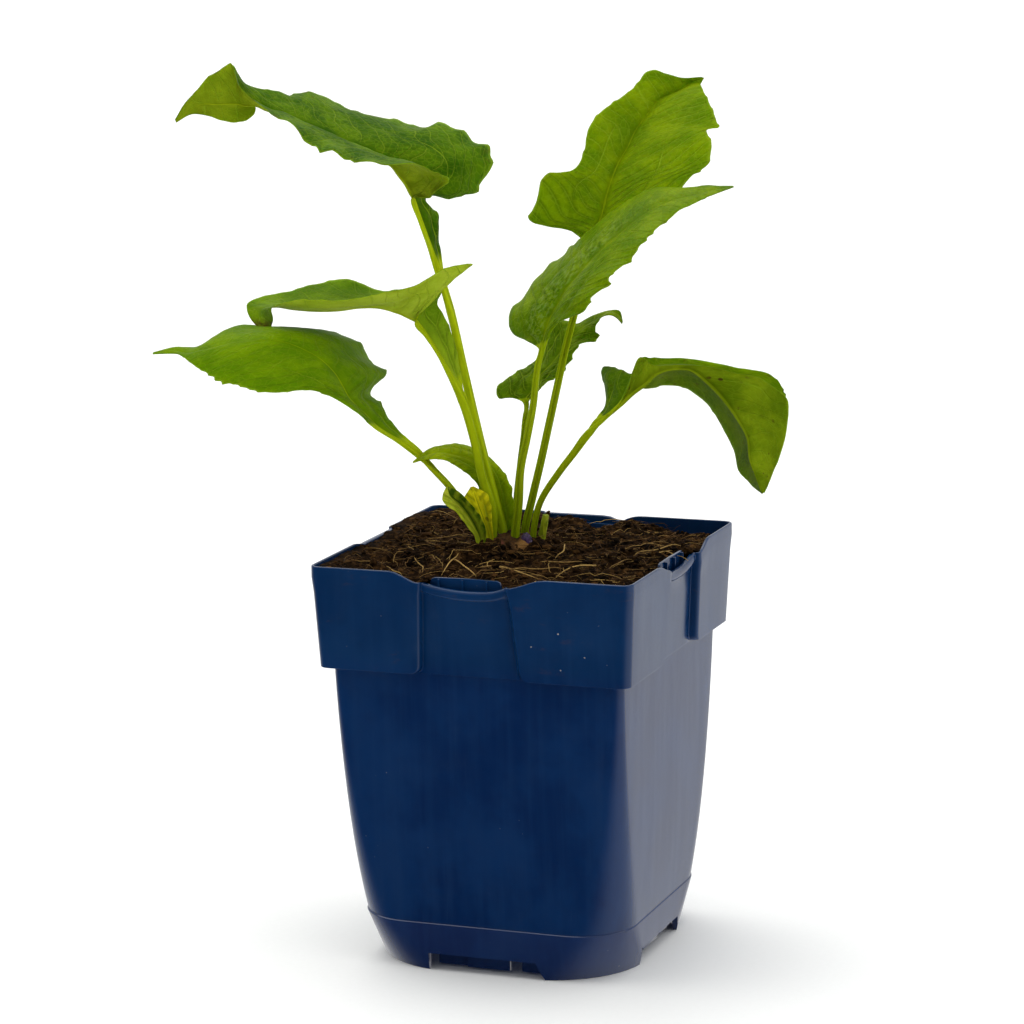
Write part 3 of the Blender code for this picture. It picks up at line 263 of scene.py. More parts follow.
MIDDLE_LEFT = Leaf(
    "leaf_middle_left",
    stalk=[(-15, -2, 186), (-14.8, -3, 201), (-18.9, -4, 215), (-22.6, -5, 234), (-27.1, -5, 250)],
    radius=(2.5, 2.4), side=(0.15, 0.98, 0.1),
    ribs=[
        [(-33, -7, 261), (-32, -5, 262), (-28.5, -0.5, 264)],
        [(-37.7, -7, 271), (-36.7, -5, 271), (-30.8, 1.5, 276)],
        [(-43.8, -7, 280), (-41.8, -5, 280), (-34, 4, 285)],
        [(-48, -8, 287), (-46.8, -5, 287), (-38.5, 8, 292)],
        [(-39, -14, 298), (-50, -5, 289), (-37, 12, 296)],
        [(-29, -21, 309), (-52, -5, 290), (-36, 17, 299)],
        [(-22, -26, 315), (-54, -5, 291), (-39, 22, 301)],
        [(-33, -28, 313), (-57, -5, 292), (-46, 25, 300)],
        [(-43, -28, 308), (-60, -5, 293), (-54, 26, 297)],
        [(-54, -27, 304), (-65, -5, 294), (-62, 27, 296)],
        [(-66, -26, 301), (-73, -5, 294), (-71, 27, 299)],
        [(-78, -26, 300), (-82, -6, 293), (-81, 26, 302)],
        [(-90, -27, 300), (-92, -7, 293), (-92, 24, 301)],
        [(-100, -27, 300), (-102, -8, 294), (-103, 18, 298)],
        [(-107, -24, 298), (-110, -7, 295), (-115, 12, 297)],
        [(-111, -17, 295), (-117, -5, 293), (-123, 5, 294)],
        [(-110.5, -11, 289), (-117, -5, 288), (-122, 0, 289)]],
    tip=(-115, -6, 283.5), tip_half=2.4, bulge=(-0.05, -0.05),
    teeth=(((52, 0.5), (100, 0.4), (128, 0.4)), ((86, 0.5), (117, 0.4), (131, 0.5), (143, 0.4))),
    look=Look(seed=2, dark=(0.085, 0.17, 0.002), light=(0.17, 0.28, 0.003), under_dark=(0.31, 0.4, 0.018),
              under=(0.4, 0.5, 0.035), spacing=9.0, veins=0.28, midrib=0.8, stem=0.75, wing=0.65,
              dry=(156.0, 0.2), furrow=0.4))

LOWER_LEFT = Leaf(
    "leaf_lower_left",
    stalk=[(-21, -3, 186), (-27, -4, 200), (-33.6, -5, 211), (-41.3, -6, 220)],
    radius=(1.8, 1.6), side=(0.3, 0.94, 0.15),
    ribs=[
        [(-50, -9, 227), (-48, -8, 228), (-47, -6, 229)],
        [(-58, -12, 234), (-57, -10, 235), (-55, -5, 236)],
        [(-67, -17, 241), (-65, -13, 241), (-61, -4, 243)],
        [(-75, -24, 250), (-71, -16, 248), (-65, -1, 249)],
        [(-85, -33, 258), (-77, -20, 255), (-69, 2, 254)],
        [(-93, -40, 262), (-80, -22, 261), (-63, 8, 260)],
        [(-99, -46, 263), (-83, -25, 267), (-62, 13, 262)],
        [(-108, -51, 263), (-89, -28, 274), (-69, 14, 266)],
        [(-117, -56, 265), (-96, -32, 279), (-74, 12, 275)],
        [(-124, -59, 268), (-104, -36, 283), (-84, 8, 280)],
        [(-131, -61, 270), (-113, -41, 285), (-97, 1, 283)],
        [(-137, -61, 274), (-125, -45, 285), (-112, -6, 285)],
        [(-144, -60.7, 278), (-136, -49, 283), (-126, -18, 288)],
        [(-148, -57, 281), (-146, -51, 281), (-140, -33, 281)],
        [(-152, -52, 281), (-153, -50, 282), (-151, -46, 283)]],
    tip=(-160.8, -50, 281), bulge=(0.06, 0.06),
    teeth=(((58, 0.7), (88, 0.6), (98, 0.5), (109, 1.1), (115, 1.1), (121, 0.8)),
           ((44, 0.8), (72, 0.6), (80, 0.5), (90, 0.8), (101, 0.5), (130, 0.4))),
    look=Look(seed=3, dark=(0.09, 0.18, 0.001), light=(0.15, 0.25, 0.001), under_dark=(0.2, 0.29, 0.008),
              under=(0.3, 0.38, 0.016), spacing=9.5, teeth=0.35, frill=0.2, veins=0.14, midrib=0.7,
              spots=0.04, stem=0.8, furrow=0.35))

ARCHING_BASE = Leaf(
    "leaf_arching_base",
    stalk=[(-11, 10, 185)],
    radius=(2.2, 2.2), side=(1.0, 0.0, 0.0),
    ribs=[
        [(-16, 9, 193), (-11, 11, 192), (-6, 6.5, 192)],
        [(-19, 8, 202), (-13, 11, 202), (-5.5, 4.5, 202)],
        [(-21, 7, 209), (-15, 11, 210), (-7, 5.5, 210)],
        [(-25, 3, 215), (-19, 8, 218), (-11, 11, 217)],
        [(-30, -3, 220), (-25, 4, 223), (-19, 14, 223)],
        [(-35, -9, 224), (-32, -2, 226), (-27, 10, 228)],
        [(-40, -13, 226), (-39, -7, 228), (-36, 3, 229)],
        [(-45, -15, 226), (-45, -11, 227), (-43, -5, 229)]],
    tip=(-50, -15, 225), bulge=(0.05, 0.05),
    teeth=(((14, 0.5), (24, 0.6)), ((9, 1.0), (14, 1.1), (19, 1.0), (25, 0.9), (32, 0.6))),
    look=Look(seed=4, dark=(0.2, 0.28, 0.002), light=(0.33, 0.41, 0.003), under_dark=(0.2, 0.27, 0.004),
              under=(0.3, 0.37, 0.006), frill=0.2, wave=0.2, veins=0.3, midrib=0.9, narrow=0.0))

FOLDED_BASE = Leaf(
    "leaf_folded_base",
    stalk=[(-21, -12, 185)],
    radius=(1.5, 1.5), side=(1.0, 0.0, 0.0),
    ribs=[
        [(-23, -13, 190), (-21, -11, 189), (-18, -13, 190)],
        [(-26, -15, 195), (-23, -11, 194), (-19, -14, 196)],
        [(-31, -16, 202), (-27, -11, 201), (-22, -14, 202)],
        [(-37, -16, 207), (-31, -11, 206), (-26, -14, 207)],
        [(-37, -15, 210), (-34, -12, 209), (-30, -13, 211)]],
    tip=(-35, -12, 213), bulge=(0.0, 0.0),
    teeth=(((9, 0.4), (15, 0.4)), ((10, 0.4), (17, 0.4))),
    look=Look(seed=5, dark=(0.4, 0.46, 0.02), light=(0.55, 0.6, 0.05), under_dark=(0.2, 0.25, 0.006),
              under=(0.3, 0.35, 0.01), frill=0.15, wave=0.1, gloss=0.5, veins=0.25, midrib=0.2, spots=0.26,
              stem=0.3, split=0.95, narrow=0.0, furrow=0.6))

WITHERED = Leaf(
    "leaf_withered",
    stalk=[(-16, -8, 185)],
    radius=(1.2, 1.2), side=(1.0, 0.0, 0.0),
    ribs=[
        [(-19, -8, 191), (-17, -7, 191), (-15, -8, 191)],
        [(-22.5, -9, 197), (-19, -7, 197), (-15.5, -8, 197)],
        [(-26.5, -9, 202.5), (-21, -7, 203), (-16, -7.5, 203.5)],
        [(-27.5, -9, 207), (-22.5, -7, 207.5), (-17.5, -7, 208.5)]],
    tip=(-24, -7, 212), bulge=(0.0, 0.0),
    teeth=(((8, 0.8), (13, 1.4), (18, 1.2), (23, 0.9)), ((9, 0.9), (14, 1.3), (19, 1.2), (24, 0.8))),
    look=Look(seed=6, dark=(0.6, 0.55, 0.006), light=(0.85, 0.78, 0.012), under_dark=(0.32, 0.31, 0.005),
              under=(0.48, 0.45, 0.008), spacing=5.0, teeth=0.6, frill=1.6, wave=0.6, gloss=0.6, midrib=0.9,
              spots=0.4, narrow=0.0, dry=(27.0, 0.5), furrow=0.6))

BACK_RIGHT = Leaf(
    "leaf_back_right",
    stalk=[(-1, 6, 186), (3, 7, 204), (7, 8, 220), (11, 10, 237), (15, 12, 254), (19, 15, 271),
           (23, 19, 285), (28, 25, 302)],
    radius=(1.8, 1.6), side=(1.0, 0.0, -0.2),
    ribs=[
        [(29, 29, 314), (32, 29, 313), (34, 29, 313)],
        [(25, 31, 320), (33, 32, 317), (40, 31, 318)],
        [(14, 30, 324), (34, 33, 320), (50, 31, 322)],
        [(4, 29, 327), (35, 36, 324), (60, 33, 328)],
        [(7, 30, 336), (37, 38, 330), (69, 34, 336)],
        [(11, 33, 347), (39, 42, 337), (78, 39, 346)],
        [(24, 38, 349), (42, 46, 345), (85, 43, 350)],
        [(29, 44, 357), (45, 51, 351), (87, 49, 359)],
        [(31, 49, 366), (49, 55, 357), (85, 54, 364)],
        [(37, 57, 373), (53, 62, 364), (90, 58, 366)],
        [(45, 63, 378), (59, 68, 371), (88, 65, 373)],
        [(54, 71, 384), (65, 75, 377), (85, 72, 380)],
        [(60, 77, 390), (73, 80, 380), (84, 78, 382)],
        [(75, 82, 386), (80, 83, 384), (84, 82, 383)]],
    tip=(85, 83, 386), bulge=(0.05, 0.05),
    teeth=(((40, 1.0), (61, 0.5), (78, 0.5), (95, 0.6), (107, 0.7), (121, 0.7), (132, 0.5)),
           ((62, 0.8), (71, 0.6), (82, 0.5), (98, 1.4), (108, 0.6), (116, 0.5))),
    look=Look(seed=7, dark=(0.1, 0.175, 0.001), light=(0.19, 0.27, 0.001), under_dark=(0.13, 0.22, 0.008),
              under=(0.19, 0.29, 0.015), teeth=0.35, gloss=0.42, spots=0.04, rake=0.45, furrow=0.45,
              calm=(45.0, 80.0)))

FRONT_RIGHT = Leaf(
    "leaf_front_right",
    stalk=[(-5, -3, 186), (-3, -4, 204), (-2, -5, 219), (1, -6, 233), (4, -6, 248), (6, -6, 264)],
    radius=(2.1, 1.5), side=(0.75, -0.6, 0.0),
    ribs=[
        [(7, -4, 273), (8, -5, 274), (10, -7, 275)],
        [(2, 3, 276), (9, -5, 279), (14, -14, 285)],
        [(-5, 10, 280), (10, -5, 283), (22, -20, 290)],
        [(-6, 14, 287), (12, -4, 288), (27, -23, 293)],
        [(0, 17, 294), (15, -4, 293), (29, -26, 298)],
        [(7, 19, 302), (19, -4, 300), (37, -28, 305)],
        [(17, 20, 311), (25, -4, 307), (39, -28, 309)],
        [(27, 20, 319), (33, -5, 316), (47, -28, 316)],
        [(37, 20, 329), (42, -6, 324), (54, -27, 324)],
        [(47, 18, 336), (53, -8, 333), (60, -25, 330)],
        [(57, 14, 342), (64, -10, 339), (68, -23, 336)],
        [(69, 6, 343), (74, -13, 342), (77, -20, 340)],
        [(81, -5, 345), (84, -15, 344), (85, -18, 343)]],
    tip=(93, -17, 346), bulge=(0.07, 0.07),
    teeth=(((38, 0.5), (58, 1.0), (67, 1.0), (76, 0.5), (88, 0.5), (107, 0.6)),
           ((30, 0.8), (41, 1.3), (53, 1.5), (62, 0.5), (72, 1.1), (85, 0.9), (91, 0.7), (101, 0.5))),
    look=Look(seed=8, dark=(0.08, 0.155, 0.001), light=(0.16, 0.24, 0.001), under_dark=(0.14, 0.23, 0.01),
              under=(0.2, 0.29, 0.018), spacing=8.0, teeth=0.35, frill=0.3, wave=0.35, gloss=0.4,
              veins=0.05, midrib=0.3, spots=0.03, shine=0.04, waxy=0.32))

SMALL_MIDDLE = Leaf(
    "leaf_small_middle",
    stalk=[(-4.5, 11.5, 185), (-4, 12, 202), (-2, 14, 219), (0, 16, 234)],
    radius=(1.6, 1.4), side=(0.75, -0.6, 0.0),
    ribs=[
        [(-1, 19, 246), (1, 19, 246), (2, 18, 246)],
        [(-6, 24, 247), (1, 20, 248), (4, 14, 249)],
        [(-12, 27, 247), (3, 21, 250), (7, 13, 253)],
        [(-11, 30, 252), (5, 22, 253), (11, 15, 256)],
        [(-3, 32, 257), (7, 23, 257), (15, 16, 258)],
        [(5, 34, 262), (12, 24, 262), (20, 18, 263)],
        [(10.5, 36, 272.5), (17, 25, 268), (25, 20, 271)],
        [(15.5, 36, 281), (22, 27, 274), (33, 22, 274)],
        [(25, 34, 279), (28, 28, 279), (33, 22, 279)],
        [(31, 33, 282), (34, 28, 282), (35, 23, 283)],
        [(39, 32, 285), (40, 29, 285), (40, 25, 284)],
        [(44, 30, 285), (44, 29, 283), (43, 26, 282)]],
    tip=(45, 28, 280), bulge=(0.05, 0.05),
    teeth=(((20, 0.9), (27, 0.6), (34, 0.5), (45, 0.6), (58, 0.6), (66, 0.8)),
           ((13, 0.6), (22, 0.8), (29, 1.1), (38, 1.5), (44, 1.2), (50, 1.0), (58, 1.2), (63, 1.6))),
    look=Look(seed=9, dark=(0.07, 0.125, 0.002), light=(0.16, 0.24, 0.004), under_dark=(0.15, 0.21, 0.006),
              under=(0.23, 0.29, 0.012), spacing=7.0, teeth=0.6, frill=0.35, wave=0.35, veins=0.28,
              midrib=0.7, spots=0.06, stem=0.35, furrow=0.6))

DROOPING_RIGHT = Leaf(
    "leaf_drooping_right",
    stalk=[(3, 0, 186), (6.2, -5.2, 203.4), (14.5, -11.8, 218.1), (21.6, -19.2, 228.8), (27.8, -27.2, 238.6)],
    radius=(1.4, 1.9), side=(-0.3, -0.95, 0.1),
    ribs=[
        [(31.7, -27.2, 245.6), (32.6, -29.2, 244.6), (33.6, -31.2, 243.6)],
        [(35.6, -21.2, 250.5), (38.6, -32.2, 249.5), (40.6, -34.2, 251.5)],
        [(35.6, -13.2, 258.4), (43.5, -34.2, 254.5), (45.5, -39.2, 261.4)],
        [(34.6, -9.2, 264.4), (47.5, -36.2, 258.5), (47.5, -45.2, 269.4)],
        [(38.6, -11.2, 266.4), (52.5, -38.2, 262.4), (49.5, -50.2, 275.3)],
        [(51.5, -13.2, 256.5), (57.4, -41.2, 267.4), (56.4, -55.2, 276.3)],
        [(62.4, -11.2, 257.4), (64.3, -45.2, 270.4), (68.3, -61.2, 276.3)],
        [(70.3, -11.2, 256.4), (72.3, -49.2, 270.4), (81.2, -67.2, 275.4)],
        [(77.2, -12.2, 252.5), (78.2, -53.2, 266.4), (94.1, -72.2, 273.4)],
        [(83.2, -14.2, 246.5), (85.1, -57.2, 259.5), (105.9, -75.2, 271.4)],
        [(88.1, -18.2, 238.6), (91.1, -61.2, 251.6), (111.9, -77.2, 262.5)],
        [(92.1, -24.2, 229.7), (96, -65.2, 242.7), (111.9, -79.2, 250.6)],
        [(94.1, -32.2, 221.8), (97, -66.2, 233.7), (108.9, -80.2, 237.7)],
        [(98, -46.2, 218.6), (99.5, -68.2, 226.5), (105.9, -78.2, 228.8)]],
    tip=(102, -70, 219), tip_half=2.0, bulge=(0.08, 0.12),
    teeth=(((30, 0.4), (38, 0.5), (60, 0.4), (75, 0.4), (96, 0.4)), ((45, 0.2), (58, 0.2))),
    look=Look(seed=10, dark=(0.085, 0.17, 0.001), light=(0.16, 0.27, 0.001),
              under_dark=(0.11, 0.165, 0.002), under=(0.22, 0.29, 0.006), spacing=10.0, teeth=0.1,
              frill=0.05, wave=0.2, midrib=0.4, spots=0.24, split=-0.5),
    hem=(44, 108, 5.5))

LEAVES = (TOP_LEFT, MIDDLE_LEFT, LOWER_LEFT, ARCHING_BASE, FOLDED_BASE, WITHERED,
          BACK_RIGHT, FRONT_RIGHT, SMALL_MIDDLE, DROOPING_RIGHT)


def spline(knots, points, at):
    """A smooth curve through points, with unequal steps between its knots."""
    knots, points = np.asarray(knots), np.asarray(points, float)
    slopes = np.zeros_like(points)
    step = np.diff(knots)[:, None]
    rise = np.diff(points, axis=0) / step
    slopes[1:-1] = (rise[:-1] * step[1:] + rise[1:] * step[:-1]) / (step[:-1] + step[1:])
    slopes[0], slopes[-1] = rise[0], rise[-1]
    index = np.clip(np.searchsorted(knots, at, side="right") - 1, 0, len(knots) - 2)
    span = (knots[index + 1] - knots[index])[:, None]
    u = (at - knots[index])[:, None] / span
    return ((2 * u ** 3 - 3 * u ** 2 + 1) * points[index] + (u ** 3 - 2 * u ** 2 + u) * span * slopes[index]
            + (3 * u ** 2 - 2 * u ** 3) * points[index + 1] + (u ** 3 - u ** 2) * span * slopes[index + 1])


def smooth(value):
    """Eases from 0 to 1 while the value does."""
    value = np.clip(value, 0.0, 1.0)
    return value * value * (3.0 - 2.0 * value)


def hump(gap, width):
    """1 where the gap is nothing, falling to nothing within about two widths."""
    return math.exp(-(gap / width) ** 2)


def turned(x, y, turn=PLANT_TURN):
    """Turns a place about the pot's axis: from the plant's frame to the pot's, or by another angle."""
    c, s = math.cos(turn), math.sin(turn)
    return c * x - s * y, s * x + c * y


def placed(name, data):
    """A new object in the scene."""
    made = bpy.data.objects.new(name, data)
    bpy.context.scene.collection.objects.link(made)
    return made


class Net:
    """A node tree, written as nested calls."""

    def __init__(self, tree):
        self.tree = tree

    def feed(self, socket, value):
        if isinstance(value, bpy.types.NodeSocket):
            self.tree.links.new(value, socket)
        elif isinstance(value, tuple) and len(value) == 3 and socket.type == "RGBA":
            socket.default_value = (*value, 1.0)
        else:
            socket.default_value = value

    def add(self, kind, inputs=(), output=0, **settings):
        node = self.tree.nodes.new(kind)
        for key, value in settings.items():
            setattr(node, key, value)
        for key, value in dict(inputs).items():
            self.feed(node.inputs[key], value)
        return node.outputs[output]

    def math(self, operation, *values):
        return self.add("ShaderNodeMath", enumerate(values), operation=operation)

    def times(self, product, *factors):
        for factor in factors:
            product = self.math("MULTIPLY", product, factor)
        return product

    def plus(self, total, *others):
        for other in others:
            total = self.math("ADD", total, other)
        return total

    def vector(self, operation, vector, other, output=0):
        return self.add("ShaderNodeVectorMath", {0: vector, 1: other}, output, operation=operation)

    def split(self, vector):
        node = self.tree.nodes.new("ShaderNodeSeparateXYZ")
        self.feed(node.inputs[0], vector)
        return tuple(node.outputs)

    def attribute(self, name):
        return self.add("ShaderNodeAttribute", output="Vector", attribute_name=name)

    def place(self):
        """The point in the object's own millimetres."""
        spot = self.add("ShaderNodeTexCoord", output="Object")
        return self.add("ShaderNodeVectorMath", {0: spot, 3: 1.0 / MM}, operation="SCALE")

    def stretch(self, vector, x, y, z):
        return self.vector("MULTIPLY", vector, (x, y, z))

    def noise(self, vector, size, detail=3.0, rough=0.55):
        """Cloudy noise whose lumps are about size millimetres across."""
        return self.add("ShaderNodeTexNoise", {"Vector": vector, "Scale": 1.0 / size, "Detail": detail,
                                               "Roughness": rough})

    def cells(self, vector, size, feature="F1", output="Distance"):
        return self.add("ShaderNodeTexVoronoi", {"Vector": vector, "Scale": 1.0 / size}, output,
                        feature=feature)

    def fade(self, value, low, high, start=0.0, end=1.0):
        """Eases from start to end while the value goes from low to high."""
        return self.add("ShaderNodeMapRange", {0: value, 1: low, 2: high, 3: start, 4: end},
                        interpolation_type="SMOOTHSTEP")

    def drop(self, value, low, high):
        """Eases from 1 to 0 while the value goes from low to high."""
        return self.fade(value, low, high, 1.0, 0.0)

    def mix(self, share, a, b):
        return self.add("ShaderNodeMix", {0: share, 2: a, 3: b}, data_type="FLOAT")

    def blend(self, share, a, b):
        return self.add("ShaderNodeMix", {0: share, 6: a, 7: b}, output=2, data_type="RGBA")

    def over(self, colour, tint, *masks):
        """The colour with a tint over it, as strong as the masks multiplied."""
        return self.blend(self.times(*masks), colour, tint)

    def bump(self, height, depth, strength=1.0):
        """Height from 0 to 1 stands for depth millimetres."""
        return self.add("ShaderNodeBump", {"Height": height, "Distance": depth * MM, "Strength": strength})


class Paint(Net):
    """The node tree of a material."""

    def __init__(self, name, roughness=0.5, **sockets):
        self.material = bpy.data.materials.new(name)
        self.material.use_nodes = True
        super().__init__(self.material.node_tree)
        self.put(Roughness=roughness, **sockets)

    def put(self, **sockets):
        """Sets or links the shader's own sockets, with _ for the spaces in their names."""
        for name, value in sockets.items():
            self.feed(self.tree.nodes["Principled BSDF"].inputs[name.replace("_", " ")], value)


def finish_piece(name, points, faces, materials, node, smooth_faces=True, indices=None, closed=True):
    """Points in millimetres in the pot's frame become a piece that rides and stands for its node."""
    mesh = bpy.data.meshes.new(name)
    mesh.from_pydata([tuple(p) for p in np.asarray(points, float) * MM], [], faces)
    for each in materials:
        mesh.materials.append(each)
    if indices is not None:
        mesh.polygons.foreach_set("material_index", indices)
    if closed:
        work = bmesh.new()
        work.from_mesh(mesh)
        bmesh.ops.recalc_face_normals(work, faces=work.faces)
        work.to_mesh(mesh)
        work.free()
    if smooth_faces:
        mesh.shade_smooth()
    mesh.update()
    piece = placed(name, mesh)
    settle(piece, node)
    return piece


def settle(piece, node):
    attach(piece, "root")
    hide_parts(node)


def store(mesh, name, values):
    """Keep a vector at each point for the material."""
    layer = mesh.attributes.new(name, "FLOAT_VECTOR", "POINT")
    layer.data.foreach_set("vector", np.asarray(values, np.float32).ravel())


# Leaves

def leaf_rails(leaf):
    """The left edge, midrib and right edge of a leaf, from its foot to its tip."""
    side = np.array(leaf.side) / np.linalg.norm(leaf.side)
    stalk = [(*leaf.stalk[0][:2], STALK_FOOT)] + list(leaf.stalk)
    start, end = leaf.radius
    rows = []
    for i, place in enumerate(stalk):
        radius = start + (end - start) * i / len(stalk)
        rows.append([np.array(place, float) + side * offset for offset in (-radius, 0.0, radius)])
    rows += [[np.array(place, float) for place in rib] for rib in leaf.ribs]
    last = rows[-1][2] - rows[-1][0]
    last = last / np.linalg.norm(last) * leaf.tip_half
    rows.append([np.array(leaf.tip, float) + last * sign for sign in (-1.0, 0.0, 1.0)])
    rails = [np.array(rail) for rail in zip(*rows)]
    chords = [np.linalg.norm(np.diff(rail, axis=0), axis=1) for rail in rails]
    knots = np.concatenate([[0.0], np.cumsum(sum(chords) / 3.0)])
    return rails, knots, len(stalk)


def tooth_line(along, teeth):
    """How far the margin stands out: each tooth rises slowly and falls quickly towards the tip."""
    out = np.zeros(len(along))
    for place, height in teeth:
        gap = along - place
        before, after = 2.2 + 1.3 * abs(height), 1.2 + 0.5 * abs(height)
        out += height * np.clip(np.where(gap < 0.0, 1.0 + gap / before, 1.0 - gap / after), 0.0, 1.0)
    return out


def leaf_teeth(leaf, length):
    """The named teeth of both margins, with small irregular ones between them."""
    draw = random.Random(leaf.name)
    both = []
    for named in leaf.teeth:
        teeth = list(named)
        place = TOOTHLESS[0]
        while place < length - TOOTHLESS[1]:
            if all(abs(place - other) > TOOTH_CLEAR for other, _ in named):
                teeth.append((place, leaf.look.teeth * draw.uniform(0.3, 1.0)))
            place += draw.uniform(*TOOTH_STEP)
        both.append(teeth)
    return both


def unit(vectors):
    return vectors / np.maximum(np.linalg.norm(vectors, axis=-1, keepdims=True), 1e-6)


def leaf_surface(leaf):
    """Rows of points across the leaf, and what its material needs to know of each point."""
    rails, knots, stalk_count = leaf_rails(leaf)
    split = knots[stalk_count - 1]
    length = knots[-1] - split
    at = np.concatenate([np.linspace(0.0, split, max(int(split / STALK_STEP), 3), endpoint=False),
                         np.linspace(split, knots[-1], int(length / BLADE_STEP) + 1)])
    left, middle, right = (spline(knots, rail, at) for rail in rails)
    share = np.clip((at - split) / length, 0.0, 1.0)
    start, end = leaf.radius
    radius = np.where(share > 0.0, end * (1.0 - share) ** 0.8 + RIB_LEAST,
                      start + (end - start) * np.clip(at / split, 0.0, 1.0))
    ahead = np.gradient(middle, at, axis=0)
    hem_start, hem_end, hem_width = leaf.hem
    folded = smooth((at - split - hem_start) / 9.0) * smooth((hem_end - at + split) / 12.0)
    folded = folded * min(hem_width, 1.0)
    count = 2 * HALF_COLUMNS + 1
    columns = np.zeros((len(at), count, 3))
    across = np.zeros((len(at), count))
    half = np.zeros((len(at), count))
    for edge, sign, bulge, teeth in zip((left, right), (-1, 1), leaf.bulge, leaf_teeth(leaf, length)):
        reach = edge - middle
        width = np.linalg.norm(reach, axis=1)
        grow = np.maximum(1.0, 0.95 * radius / width)
        out = tooth_line(at - split, teeth) * smooth((width - 3.0) / 4.0)
        plain = unit(np.cross(np.gradient(edge, at, axis=0), FROM_FRONT))
        lies = np.sum(plain * reach, axis=1) / width
        outward = np.clip(4.0 * lies, -1.0, 1.0) * (1.0 - np.abs(lies))
        toward = reach / width[:, None] + plain * outward[:, None]
        up = unit(sign * np.cross(reach, ahead))
        rib_share = np.minimum(1.25 * radius / (width * grow), 0.45)
        fold = HEM_SHARE * folded * (sign > 0)
        for j in range(HALF_COLUMNS + 1):
            if j <= RIB_COLUMNS:
                s = rib_share * j / RIB_COLUMNS
            else:
                s = rib_share + (1.0 - rib_share) * ((j - RIB_COLUMNS) / (HALF_COLUMNS - RIB_COLUMNS)) ** 0.9
            flat = np.minimum(s / (1.0 - fold), 1.0)
            over = np.clip((s - 1.0 + fold) / HEM_SHARE, 0.0, 1.0)
            lift = width * bulge * 4.0 * flat * (1.0 - flat)
            lift -= HEM_DEPTH * np.sin(np.minimum(2.0 * over, 1.0) * 1.57)
            column = HALF_COLUMNS + sign * j
            columns[:, column] = (middle + reach * (flat * grow - hem_width * over / width)[:, None]
                                  + toward * (out * flat ** 6)[:, None] + up * lift[:, None])
            across[:, column] = sign * s
            half[:, column] = width * grow
    return columns, across, half, radius, share, at - split


def upward(columns):
    """The direction that the upper face looks in at each point, evened out along the leaf."""
    up = np.cross(np.gradient(columns, axis=1), np.gradient(columns, axis=0))
    up /= np.maximum(np.linalg.norm(up, axis=2, keepdims=True), 1e-9)
    for _ in range(6):
        up[1:-1] = up[:-2] + 2.0 * up[1:-1] + up[2:]
        up /= np.linalg.norm(up, axis=2, keepdims=True)
    return up


def slab_faces(rows, count):
    """Quads over the upper face, the margins and both ends, then as many over the lower face."""
    size = rows * count
    index = np.arange(size).reshape(rows, count)
    a, b, c, d = index[:-1, :-1], index[:-1, 1:], index[1:, 1:], index[1:, :-1]
    parts = [np.stack([a, b, c, d], axis=-1).reshape(-1, 4)]
    for line, back in ((index[:, 0], False), (index[:, -1], True), (index[0], True), (index[-1], False)):
        e, f = line[:-1], line[1:]
        parts.append(np.stack([e, e + size, f + size, f] if back else [e, f, f + size, e + size], axis=-1))
    parts.append(np.stack([a, d, c, b], axis=-1).reshape(-1, 4) + size)
    return np.concatenate(parts)


def nerve_gap(x, y, half, share):
    """How far a point lies from the long nerve of its half, which runs out towards the tip."""
    spread, narrow = 0.62 * np.maximum(y, 0.0) + 0.6, 0.5 * half
    nerve_line = (spread ** -3.0 + narrow ** -3.0) ** (-1.0 / 3.0)
    return np.abs(x - nerve_line) + 8.0 * np.maximum(share - 0.62, 0.0)


def relief(look, x, y, across, nerve, phase, wobble):
    """Height of the puckers between the side veins, of the grooves at the others, and of the wavy margin."""
    outward = across ** 2
    start, end = look.calm
    depth = 0.12 * look.spacing * look.furrow * (1.0 - 0.85 * smooth((y - start) / (end - start)))
    pucker = -depth * np.cos(math.tau * phase) * smooth(x / 7.0) * (1.0 - 0.5 * outward)
    pucker += look.frill * 0.5 * wobble * smooth(x / 5.0)
    groove = -RIB_GROOVE[0] * np.exp(-(x / RIB_GROOVE[1]) ** 2)
    groove -= NERVE_GROOVE[0] * np.exp(-(nerve / NERVE_GROOVE[1]) ** 2)
    frill = look.frill * outward * outward * np.sin(y / FRILL_LENGTH + 2.0 * wobble + across * 1.7)
    roll = look.wave * outward * wobble * 3.0
    return pucker + groove + frill + roll


def depths(x, across, radius, share, leafy):
    """How far the upper and the lower face lie from the middle, in the blade and in the channelled stalk."""
    outward = across ** 2
    off_rib = np.clip(x / radius, 0.0, 1.0)
    keel = np.sqrt(1.0 - off_rib ** 2) * np.maximum(STALK_DEPTH * radius - BLADE / 2.0, 0.0)
    roundness = np.clip(1.0 - share / ROUND_SHARE, 0.0, 1.0)
    channel = CHANNEL * radius * np.exp(-(x / (CHANNEL * radius)) ** 2) * roundness
    thick = BLADE / 2.0 * (1.0 - MARGIN_THIN * outward * outward * leafy)
    return thick + keel * roundness - channel, thick + keel * (0.5 + 0.5 * roundness)


